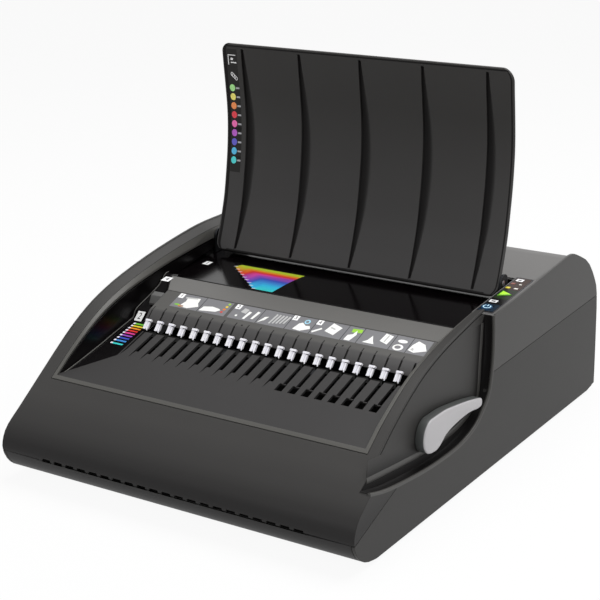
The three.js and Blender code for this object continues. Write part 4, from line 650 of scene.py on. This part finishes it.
def slit_marks(color, front, rear):
    """A dark slit to the left of each hook, between two places to the rear: painted shade where the plate's slit
    shows dark.
    """
    return [(0, color, rectangle(x - slit_lead - slit_half, front, x - slit_lead + slit_half, rear))
            for x in hook_xs]


# The slits and the screw holes are printed black: painted shade where openings in the plate show dark.
fold_y = guide_line[1][0]
print_on("finger_gaps", slit_marks("#0b0a0a", guide_line[0][0] + 0.4, fold_y - 0.2), on_fingers, "root",
         "grey_moulding")
holes = [(0, "#141313", round_mark(x, screw_y, screw_width)) for x in screw_xs]
print_on("guide_plate_marks", holes + slit_marks("#0e0d0d", fold_y + 0.2, fold_y + 5.2), on_guide, "root",
         "grey_moulding")

# Crest bar: the raised bar behind the label field, in the same grey ABS, glued to the plate.
# It lies flat under the lamp, and is painted the palest of the grey mouldings: painted light.
crest_abs = moulded("crest_abs", "#61605e", 0.45, mirror=0.2)
dress(crest_abs, 0.6, "crest_bar", segments=3)

# Deck panel: a polished black ABS plate behind the throat. The size chart on it is silk-screened: nine bands
# of colour that start at a pale tick on the left, run up to a bend and then across.
dress(piano_abs, 0.4, "deck_panel")
on_deck = on_slope(-16.3, 144.8, math.radians(4.9))
chart_colors = ["#b9cf35", "#e58a2c", "#d8342c", "#e0479c", "#8f4bb0", "#3d4fb4", "#3f86d0", "#35b5dc", "#3cc8c4"]
tick_color, tick_shape = "#e9e6f2", [(-1.6, -0.5), (2.4, 0.2), (3.4, 1.8), (-0.2, 0.9)]
chart_rows = [
    # pale tick's tip, bend, and right end of each band's upper edge, as places across and to the rear
    ((-128.8, 34.0), (-124.0, 40.5), (-45.0, 40.5)), ((-122.0, 27.6), (-114.6, 36.4), (-46.3, 36.4)),
    ((-115.3, 21.8), (-107.9, 32.6), (-47.0, 32.6)), ((-108.8, 16.3), (-101.2, 28.6), (-47.8, 28.6)),
    ((-102.1, 10.4), (-94.4, 24.4), (-48.6, 24.0)), ((-95.7, 5.0), (-88.0, 20.0), (-49.2, 19.4)),
    ((-88.7, -0.8), (-81.4, 14.8), (-49.8, 14.2)), ((-82.7, -6.6), (-76.0, 7.6), (-50.2, 7.2)),
    ((-75.5, -12.6), (-70.0, -0.6), (-50.6, -0.8)), ((-73.0, -13.2), (-62.0, -13.2), (-51.0, -13.2)),
]
marks = [(0, color, [*upper, *lower[::-1]]) for color, upper, lower in zip(chart_colors, chart_rows, chart_rows[1:])]
marks += [(1, tick_color, [(tip[0] + u, tip[1] + v) for u, v in tick_shape]) for tip, *_ in chart_rows[:-1]]
marks += tag("1", -162.0, 29.5, 8.0, 9.5, 8.0)
print_on("size_chart", marks, on_deck, "root", "gloss_black")

# Left ledge: a stepped shelf of polished black ABS beside the hooks, with a fine pale bead along its left
# edge that paints the edge's highlight. Coloured bars and plain figures are silk-screened on its flats.
dress(piano_abs, 0.4, "left_ledge")
ledge_flat = [(-140.05, 102.56), (-90.64, 115.04)]
bar_left, bar_right, bar_depth, bar_tick = -165.0, -152.5, 2.3, 2.6
bar_rows = [("#6fbf3a", -94.5), ("#e3cf34", -98.7), ("#e58a2c", -103.0), ("#d8342c", -107.5),
            ("#d9408f", -112.0), ("#8f4bb0", -116.8), ("#3d4fb4", -121.6), ("#3f86d0", -126.6),
            ("#3cc8c4", -132.2)]
marks = []
for color, y in bar_rows:
    low, high = y - bar_depth / 2, y + bar_depth / 2
    marks += [(0, color, rectangle(bar_left, low, bar_right, high)),
              (1, tick_color, rectangle(bar_left - bar_tick, low, bar_left, high))]
print_on("ledge_chart", marks, between(*ledge_flat), "root", "gloss_black")
for name, text, x, y, width, depth, size, start, end, slot in (
        ("ledge_tag_2", "2", -166.0, -85.8, 9.0, 8.6, 8.0, (-90.64, 115.04), (-80.6, 124.27), "gloss_black"),
        ("ledge_tag_4", "4", -159.5, -46.5, 9.5, 9.5, 9.0, (-65.6, 147.0), (-38.6, 151.7), "grey_moulding")):
    print_on(name, tag(text, x, y, width, depth, size), between(start, end), "root", slot)
bead_line_mm = [(-199.0, 90.6), (-180.0, 94.2), (-140.05, 103.4), (-118.0, 109.2), (-90.64, 115.9), (-85.6, 118.2),
                (-80.6, 124.9), (-62.0, 132.0), (-44.4, 138.8), (-36.0, 144.4), (-29.6, 149.6), (-24.0, 150.6)]
bead_x, bead_radius, bead_steps, bead_sides = -174.3, 0.62, 90, 8


def tube_profile(x, radius, sides):
    """A round section for carried(): its points across the machine and square to the path."""
    t = np.arange(sides) / sides * math.tau
    return np.stack([x + radius * np.cos(t), np.zeros(sides), radius * np.sin(t)], -1)


# The bead is in the lip's paler ABS: a painted highlight along the joint of ledge and wall.
bead_path = through(bead_line_mm, bead_steps)
new_piece("ledge_highlight_bead", *carried(bead_path, bead_path, tube_profile(bead_x, bead_radius, bead_sides)), "root",
          "grey_moulding", [satin_abs])

# Size slider: a small ribbed thumb piece in grey ABS on the ledge, that a spring finger below keeps in place.
# ABS in the crest's grey, a little rougher from handling.
thumb_abs = moulded("thumb_grey_abs", "#5b5b5a", 0.45, mirror=0.3)
dress(thumb_abs, 0.6, "size_slider", segments=3)

# Paper cover: one tall curved sheet of moulded ABS with rounded corners and five creases. Each crease is a
# sharp step on its left that eases out to the right, so that it casts a dark line down the sheet, and the line
# is painted into the sheet's colour as well: painted shade.
cover_left, cover_right, cover_thick, cover_length = -172.25, 167.0, 3.6, 212.0
hinge_y, hinge_z, line_behind = 67.9904, 168.9825, 4.0
cover_shares = [(-0.0293, -0.059), (0.0071, 0.033), (0.033, 0.1132), (0.059, 0.2075), (0.0778, 0.316),
                (0.0943, 0.4434), (0.1014, 0.5708), (0.0976, 0.6745), (0.0849, 0.783), (0.0708, 0.8868),
                (0.0637, 0.948), (0.059, 0.995)]
top_left_corner, top_right_corner, foot_corner, side_margin, edge_round = 9.0, 14.0, 12.0, 16.0, 1.2
crease_lefts, crease_widths = (-148.0, -77.1, -4.6, 66.9, 137.6), (13.4, 12.6, 12.6, 12.0, 10.6)
crease_narrow, crease_depth, crease_edge, crease_swell = 2.8, 1.9, 0.04, 1.2
crease_end, crease_end_fade, crease_top, crease_top_fade = 3.0, 2.0, 5.0, 1.5
border_depth, border_shade, border_soft, foot_shade, foot_fade = 0.5, 0.9, 0.4, 2.4, 0.6
cover_rows, spline_steps = 150, 1200


def at_rows(line, rows):
    """Points of a flat line at row numbers that may be fractions."""
    return np.stack([np.interp(rows, np.arange(len(line)), line[:, i]) for i in (0, 1)], -1)


def cover_line(shares):
    """Points of the cover's front line, at the given shares of the way up its spline."""
    points = [(hinge_y - line_behind + a * cover_length, hinge_z + b * cover_length) for a, b in cover_shares]
    return at_rows(through(points, spline_steps), np.asarray(shares) * spline_steps)


def cover_depth(x, up, down):
    """How deep the creases are at a point, given its places above the foot and below the top edge, as a share
    of their full depth: a sharp step at a crease's left that eases out over its width, which is least at
    both ends."""
    depth = np.zeros(np.broadcast(x, up).shape)
    middle = np.sin(math.pi * up / (up + down)) ** crease_swell
    fade = (np.clip((up - crease_end) / crease_end_fade, 0, 1)
            * np.clip((down - crease_top) / crease_top_fade, 0, 1))
    for left, width in zip(crease_lefts, crease_widths):
        t = (x - left) / (crease_narrow + (width - crease_narrow) * middle)
        step = np.clip(t / crease_edge, 0, 1) * np.clip(1 - np.clip(t, 0, 1) ** 4, 0, 1)
        depth = np.maximum(depth, step * fade)
    return depth


across_x = [0, 0.06, 0.2, 0.45, 0.8, 1.2, 1.6, 2.0, 3.0, 3.4, 5.2, 5.6, 8, 12, side_margin]
left_columns = [cover_left + x for x in across_x]
right_columns = [cover_right - x for x in reversed(across_x)]
crease_steps = [-0.3, 0, 0.12, 0.24, 0.4, 0.7, 1.1, 1.5, 1.9, 2.4, 3, 3.6, 4.3, 5, 5.8, 6.6, 7.4, 8.3, 9.2, 10.1,
                11, 12, 13.2]
crease_columns = [left + step for left in crease_lefts for step in crease_steps]
plain_step = 7.0
plain_columns = np.arange(cover_left + side_margin, cover_right - side_margin, plain_step)
columns = np.unique(np.round([*left_columns, *crease_columns, *plain_columns, *right_columns], 3))
row_shares = 0.5 - 0.5 * np.cos(np.linspace(0, math.pi, cover_rows))
front_line = cover_line(row_shares)
square = across_path(front_line)                         # to the left of travel upwards: out of the front
arc = np.concatenate([[0], np.cumsum(np.linalg.norm(np.diff(front_line, axis=0), axis=1))])
above, below = arc[-1] - arc, arc


def band_share(distance, start, end):
    """One inside a band along an edge and nought outside it, with soft sides."""
    return np.clip((distance - start) / border_soft, 0, 1) * np.clip((end - distance) / border_soft, 0, 1)


def corner_inset(radius, distance):
    """How far a rounded corner draws the side in, at a distance from the end of the sheet."""
    gone = np.clip(radius - distance, 0, radius)
    return radius - np.sqrt(np.maximum(radius ** 2 - gone ** 2, 0))


left_inset, right_inset = (np.maximum(corner_inset(radius, above), corner_inset(foot_corner, below))[:, None]
                           for radius in (top_left_corner, top_right_corner))
x = np.broadcast_to(columns, (cover_rows, len(columns)))
from_left, from_right = x - cover_left, cover_right - x
x = np.where(from_left < side_margin, cover_left + left_inset + from_left * (1 - left_inset / side_margin), x)
x = np.where(from_right < side_margin,
             cover_right - right_inset - from_right * (1 - right_inset / side_margin), x)
to_edge = np.minimum(np.minimum(from_left, from_right), np.minimum(above, below)[:, None])
half = cover_thick / 2 * np.sqrt(1 - (1 - np.clip(to_edge / edge_round, 0, 1)) ** 2)
shadow = cover_depth(x, below[:, None], above[:, None])
to_top = np.broadcast_to(above[:, None], x.shape)
border = np.maximum.reduce([band_share(from_left, 1.6, 5.6), band_share(from_right, 1.6, 3.4),
                            band_share(to_top, 1.8, 3.6)])
middle_line = front_line - square * cover_thick / 2
sides = []
for offset in (half - shadow * crease_depth - border * border_depth, -half):
    flat = middle_line[:, None] + square[:, None] * offset[..., None]
    sides.append(np.concatenate([x[..., None], flat], -1).reshape(-1, 3))
quads = grid_faces(cover_rows, len(columns))
faces = quads + [[i + len(sides[0]) for i in quad] for quad in quads]
# Painted shade: the sheet darkens along its foot edge, its border groove and its creases.
foot = np.broadcast_to(np.clip((foot_shade - below) / foot_fade, 0, 1)[:, None], x.shape)
shade = np.concatenate([np.maximum.reduce([shadow, border * border_shade, foot]).ravel(), foot.ravel()])
# Fine-textured ABS: matt enough to show no mirror image. It is painted paler towards its foot (painted light),
# and darker along the creases, the border groove and the foot edge (painted shade).
cover_abs = moulded("cover_abs", "#3a3938", 0.5, mirror=0.12)
split_tone(cover_abs, "Z", "#4a4949", 175, 330)
darkened(cover_abs, "#070505")
sheet = new_piece("cover_sheet", np.concatenate(sides), faces, "cover", "cover_plastic", [cover_abs],
                  painted_shade_colors(shade))
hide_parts("paper_cover")


def turned(profile, y, z, sides=40):
    """A profile of places across and radii, turned about an axis that runs across the machine."""
    along, radius = np.asarray(profile, float).T
    t = np.arange(sides) / sides * math.tau
    return tube(np.stack([np.broadcast_to(along[:, None], (len(along), sides)),
                          y + radius[:, None] * np.cos(t), z + radius[:, None] * np.sin(t)], -1))


knuckle_radius, knuckle_length, knuckle_round = 4.3, 14.0, 0.8
rounding = [(0, knuckle_round), (knuckle_round / 3, knuckle_round / 3), (knuckle_round, 0)]   # along and inwards
knuckles = []
for start, end in ((cover_left, cover_left + knuckle_length), (cover_right - knuckle_length, cover_right)):
    profile = [(start + along, knuckle_radius - inwards) for along, inwards in rounding]
    profile += [(end - along, knuckle_radius - inwards) for along, inwards in reversed(rounding)]
    knuckles.append(turned(profile, hinge_y, hinge_z))
points, faces = joined(knuckles)
new_piece("cover_knuckles", points, faces, "cover", "cover_plastic", [cover_abs], painted_shade_colors(np.zeros(len(points))))

# The heel curls back under the hinge from the sheet's foot, round the hinge axis, and keeps light out, so
# that the band under the cover shows dark.
heel_inset, heel_outer, heel_inner, heel_steps, heel_start, heel_end = 14.6, 14.4, 13.2, 24, 226, 318
heel_left, heel_right = cover_left + heel_inset, cover_right - heel_inset
t = np.radians(np.linspace(heel_start, heel_end, heel_steps))
outer, inner = (np.stack([hinge_y + radius * np.cos(t), hinge_z + radius * np.sin(t)], -1)
                for radius in (heel_outer, heel_inner))
section = np.concatenate([outer, inner[::-1]])
# The same ABS painted full black: painted shade, where the cover's shadow lies.
heel_abs = moulded("heel_painted_shade_abs", "#0b0909", 0.55, mirror=0.15)
new_piece("cover_heel", *tube([np.column_stack([np.full(len(section), x), section])
                               for x in (heel_left, heel_right)]), "cover", "cover_plastic", [heel_abs])
# A matt black strip across the deck behind the heel, so that no light comes under the cover: painted shade.
shade_black_strip = moulded("shade_black_strip", "#080707", 0.95, mirror=0.05)
felt_front, felt_rear, felt_foot, felt_top = 82.0, 83.4, 152.8, 158.0
new_piece("cover_shade_strip", *slab(rectangle(heel_left, felt_front, heel_right, felt_rear), felt_foot, felt_top),
          "root", "rubber", [shade_black_strip])


def on_cover(points):
    """Places flat work on the cover's front: a point's place across, its height, and its lift out of the sheet."""
    across, height, lift = np.asarray(points, float).T
    up = np.interp(height, front_line[:, 1], np.arange(cover_rows))
    return np.concatenate([across[:, None], at_rows(front_line, up) + lift[:, None] * at_rows(square, up)], -1)


def rounded_mark(x0, y0, x1, y1, radius, steps=6):
    """A rectangle with rounded corners."""
    t = np.linspace(0, math.pi / 2, steps)
    middles = [(x1 - radius, y1 - radius), (x0 + radius, y1 - radius), (x0 + radius, y0 + radius),
               (x1 - radius, y0 + radius)]
    return [(x + radius * math.cos(a + i * math.pi / 2), y + radius * math.sin(a + i * math.pi / 2))
            for i, (x, y) in enumerate(middles) for a in t]


def upright_bands(x0, z0, x1, z1, count):
    """A tall rectangle cut into short ones, so that it bends with the sheet."""
    edges = np.linspace(z0, z1, count + 1)
    return [rectangle(x0, low, x1, high) for low, high in zip(edges, edges[1:])]


dot_x, dot_top, dot_bottom, dot_width, dot_height = -162.4, 331.8, 252.7, 6.8, 7.8
dot_colors = ["#b2f09c", "#fff280", "#ff9c60", "#f4505c", "#ff7cc0", "#c86cd8", "#706cd8", "#66ccf8", "#60e8e8"]
marks = [(0, "#242322", outline) for outline in upright_bands(-166.4, 240.0, -153.4, 374.0, 34)]
for color, height in zip(dot_colors, np.linspace(dot_top, dot_bottom, len(dot_colors))):
    marks.append((1, color, round_mark(dot_x, height, dot_width, dot_height)))
    marks.append((1, "#b8b8bc", rectangle(dot_x + 4.4, height - 0.9, dot_x + 8.8, height + 0.9)))
for x0, z0, x1, z1 in ((-165.0, 357.0, -164.1, 368.0), (-165.0, 367.2, -155.2, 368.0),
                       (-161.6, 359.0, -154.6, 360.2), (-161.6, 362.2, -158.6, 364.6)):
    marks += [(1, "#f6f6f6", outline) for outline in upright_bands(x0, z0, x1, z1, 4)]
comb_x, comb_z = -161.4, 347.0
for i in range(4):
    marks += [(1 + 2 * (i % 2), "#f2f2f2", round_mark(comb_x + 1.7 * i, comb_z - 1.5 * i, 3.2, 4.4)),
              (2 + 2 * (i % 2), "#242322", round_mark(comb_x + 1.7 * i, comb_z - 1.5 * i, 1.8, 2.8))]
print_on("cover_legend", marks, on_cover, "cover", "cover_plastic")

# Hinge ears: sheet steel, blackened, riveted to the deck. Each holds a plain steel pin that the cover turns on.
# Ground steel: bright, with fine marks round the pin.
bright_steel = metal("ground_steel", "#a9abae", 0.28)
dress(black_steel, 0.3, "hinge_ear_left", "hinge_ear_right")
dress(bright_steel, 0.25, "hinge_pin_left", "hinge_pin_right")

# Control strip: a polished black polycarbonate panel with backlit keys. A blue ring marks the power key and a
# green triangle the punch key, and two small lenses show amber and red.
# Polycarbonate, pigmented black: glossy, but fine scratches spread what it mirrors.
panel_black = moulded("black_polycarbonate", "#0b0a0b", 0.3, grain_mm=4, depth_mm=0.003, drift=0.0, mirror=0.12)
dress(panel_black, 0.35, "control_panel")
panel_left, panel_right, panel_front, panel_rear = 171.4, 189.7, -0.1, 96.4
on_panel = on_slope(-5.186, 159.83, math.atan(0.08573))


def bars_round(x0, y0, x1, y1, hole):
    """The bars of a rectangle that a hole leaves: below, above, left and right of it."""
    left, front, right, rear = hole
    bars = [rectangle(x0, y0, x1, front), rectangle(x0, rear, x1, y1), rectangle(right, front, x1, rear)]
    return bars + ([rectangle(x0, front, left, rear)] if left > x0 else [])


border_inset = 0.5
border = (panel_left + border_inset, panel_front + border_inset, panel_right - border_inset,
          panel_rear - border_inset)
field_left, field_right, field_round = 172.6, 188.4, 2.0
tag_pale, tag_dark, mark_warm = "#e8e8ea", "#3a3a3c", "#d8d6d0"
marks = []
for color, frame_box, hole in (
        ("#57565a", (panel_left, panel_front, panel_right, panel_rear), border),
        ("#10202e", (field_left, 3.0, field_right, 20.6), (172.5, 6.0, 184.1, 17.8)),
        ("#16240f", (field_left, 36.5, field_right, 60.0), (174.0, 42.4, 187.0, 57.0))):
    marks += [(0, color, bar) for bar in bars_round(*frame_box, hole)]
marks += [(0, "#2c1b14", rounded_mark(field_left, 62.0, field_right, 94.5, field_round))]
marks += [(layer, color, rectangle(*corners)) for layer, color, corners in (
    (1, tag_pale, (173.4, 25.2, 181.6, 31.2)), (2, tag_dark, (175.4, 26.9, 179.6, 29.5)),
    (1, tag_pale, (174.0, 86.0, 181.4, 92.4)), (2, tag_dark, (176.0, 87.8, 179.4, 90.4)),
    (1, mark_warm, (181.4, 65.4, 185.4, 68.2)), (1, mark_warm, (181.6, 77.4, 184.2, 79.6)))]
print_on("control_prints", marks, on_panel, "root", "gloss_black")


def lit_plastic(name, color, dark, glow):
    """Tinted clear plastic lit from behind: a dark body with a soft glow of its own colour."""
    return finished(moulded(name, dark, 0.22, grain_mm=3, depth_mm=0.002, drift=0.02),
                    {"Emission Color": linear(color), "Emission Strength": glow})


# Tinted polycarbonate: the keys' blue and green and the lenses' amber and red, each lit softly from behind.
for name, color, dark, glow, bevel_mm, segments, piece_name in (
        ("blue_polycarbonate", "#12507e", "#0c2a42", 0.35, 0.4, 3, "power_button"),
        ("green_polycarbonate", "#6fae22", "#4a8a18", 0.3, 0.5, 3, "punch_button"),
        ("amber_polycarbonate", "#c8c022", "#a89a1c", 0.5, 0.2, 2, "amber_indicator"),
        ("red_polycarbonate", "#8a3a1c", "#6a2a18", 0.15, 0.2, 2, "red_indicator")):
    dress(lit_plastic(name, color, dark, glow), bevel_mm, piece_name, segments=segments)
# Ink over a lit key: the light comes through it.
lit_ink = screen_ink("backlit_ink", glow=0.2)
power_x, power_y, ring_outer, ring_inner, ring_gap, ring_steps = 178.3, 11.9, 4.1, 3.1, 0.62, 28
bar_half, bar_foot, bar_top, key_lift, ring_blue = 0.5, 0.6, 4.4, 0.72, "#bfe2f2"
t = np.linspace(math.pi / 2 + ring_gap, math.pi / 2 - ring_gap + math.tau, ring_steps)
ring = [(power_x + ring_outer * math.cos(a), power_y + ring_outer * math.sin(a)) for a in t]
ring += [(power_x + ring_inner * math.cos(a), power_y + ring_inner * math.sin(a)) for a in reversed(t)]
ring_bar = rectangle(power_x - bar_half, power_y + bar_foot, power_x + bar_half, power_y + bar_top)


def on_keys(points):
    """Places flat work on the keys' tops, which stand above the panel."""
    return on_panel(np.asarray(points, float) + [0, 0, key_lift])


print_on("power_ring", [(0, ring_blue, ring), (0, ring_blue, ring_bar)], on_keys, "power_key", "blue_key", lit_ink)
punch_mark = [(175.6, 44.4), (185.2, 49.7), (175.6, 55.0)]
print_on("punch_triangle", [(0, "#a4dc3a", punch_mark)], on_keys, "punch_key", "green_key", lit_ink)
# Solder mask: a green, half-glossy lacquer over the board.
dress(moulded("green_solder_mask", "#1c4a30", 0.3), 0.15, "switch_board")

# Release lever: a curved grip moulded in light grey ABS, pressed on a steel shaft that crosses the machine.
# Satin ABS in light grey: its broad face is even, and its rounded edges catch the light.
lever_abs = moulded("light_grey_abs", "#b8b6b8", 0.4, depth_mm=0.012, drift=0.02, mirror=0.3)
split_tone(lever_abs, "X", "#4e504f", 192.6, 193.6)
# The outline is a head round the pivot and then a blade, whose points are shares of the reach and of the bulb.
pivot_y, pivot_z, reach, bulb, head_share = -126.97, 80.46, 103.0, 16.0, 1.04
head = [(bulb * head_share * math.cos(angle), bulb * head_share * math.sin(angle))
        for angle in np.radians(np.linspace(84, 262, 11))]
grip_shares = [(0.075, -1.08), (0.14, -0.98), (0.2, -0.77), (0.27, -0.52), (0.44, -0.3), (0.7, -0.19),
               (0.92, -0.33), (0.985, -0.22), (0.985, 0.14), (0.93, 0.3), (0.7, 0.61), (0.45, 0.86), (0.27, 1.01),
               (0.16, 1.04)]
grip_line = head + [(u * reach, v * bulb) for u, v in grip_shares]
knots, per_knot = len(grip_line), 8
grip_path = through([grip_line[-1], *grip_line, grip_line[0], grip_line[1]], (knots + 2) * per_knot)
grip_path = grip_path[per_knot:per_knot * (knots + 1)] + [pivot_y, pivot_z]
onward = np.roll(grip_path, -1, axis=0) - np.roll(grip_path, 1, axis=0)
inward = np.stack([-onward[:, 1], onward[:, 0]], -1) / np.linalg.norm(onward, axis=1)[:, None]
grip_profile = [(184.6, 0.8), (184.8, 0.25), (185.3, 0), (192.6, 0), (193.3, 0.15), (193.9, 0.5), (194.25, 1.0),
                (194.43, 1.7)]
rings = [np.column_stack([np.full(len(grip_path), x), grip_path + inward * inset]) for x, inset in grip_profile]
hub_profile = [(180.0, 8.0), (185.0, 8.0)]
grip = new_piece("lever_grip", *joined([tube(rings), turned(hub_profile, pivot_y, pivot_z)]), "lever", "lever_grey",
                 [lever_abs])
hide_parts("release_lever")
dress(black_steel, 0.15, "lever_shaft", "lever_pinion_left", "lever_pinion_right")
dress(black_nylon_and_painted_shade, 0.2, "lever_bush_left", "lever_bush_right")

# Frame plates, punch and drive: zinc-plated sheet and ground tool steel, bolted to the base. Nothing of them
# shows from outside, apart from a dark glimpse through the slots.
# Zinc-plated steel: pale and slightly bluish, half matt.
zinc_steel = metal("zinc_plated_steel", "#8d9194", 0.4)
dress(zinc_steel, 0.2, "frame_plate_left", "frame_plate_right", "motor_bracket")
dress(black_steel, 0.15, "die_block", "pin_guide_block")
dress(bright_steel, 0.15, "punch_bar", "drive_shaft", "drive_gear", "motor_pinion")
# Baked enamel on the motor's can: near black, half glossy.
dress(moulded("painted_motor_can", "#26272a", 0.35), 0.8, "motor", segments=3)
dress(black_nylon_and_painted_shade, 0.2, "shaft_bush_left", "shaft_bush_right")

# Chip drawer, supply and feet: the drawer is ABS like the base, the board carries a green mask, the inlet is
# black thermoset and the feet are rubber plugs.
dress(base_abs, 0.5, "chip_drawer")
# The supply board's mask is the small board's lacquer, a shade yellower.
dress(moulded("green_board_mask", "#1d4d32", 0.3), 0.15, "circuit_board")
# Pressed thermoset: hard and black, with a faint shine.
dress(moulded("black_thermoset", "#151515", 0.4), 0.3, "power_inlet")
# Moulded rubber: black and nearly without shine.
foot_rubber = moulded("moulded_rubber", "#121212", 0.75)
dress(foot_rubber, 0.8, "foot_front_left", "foot_front_right", "foot_rear_left", "foot_rear_right", segments=3)
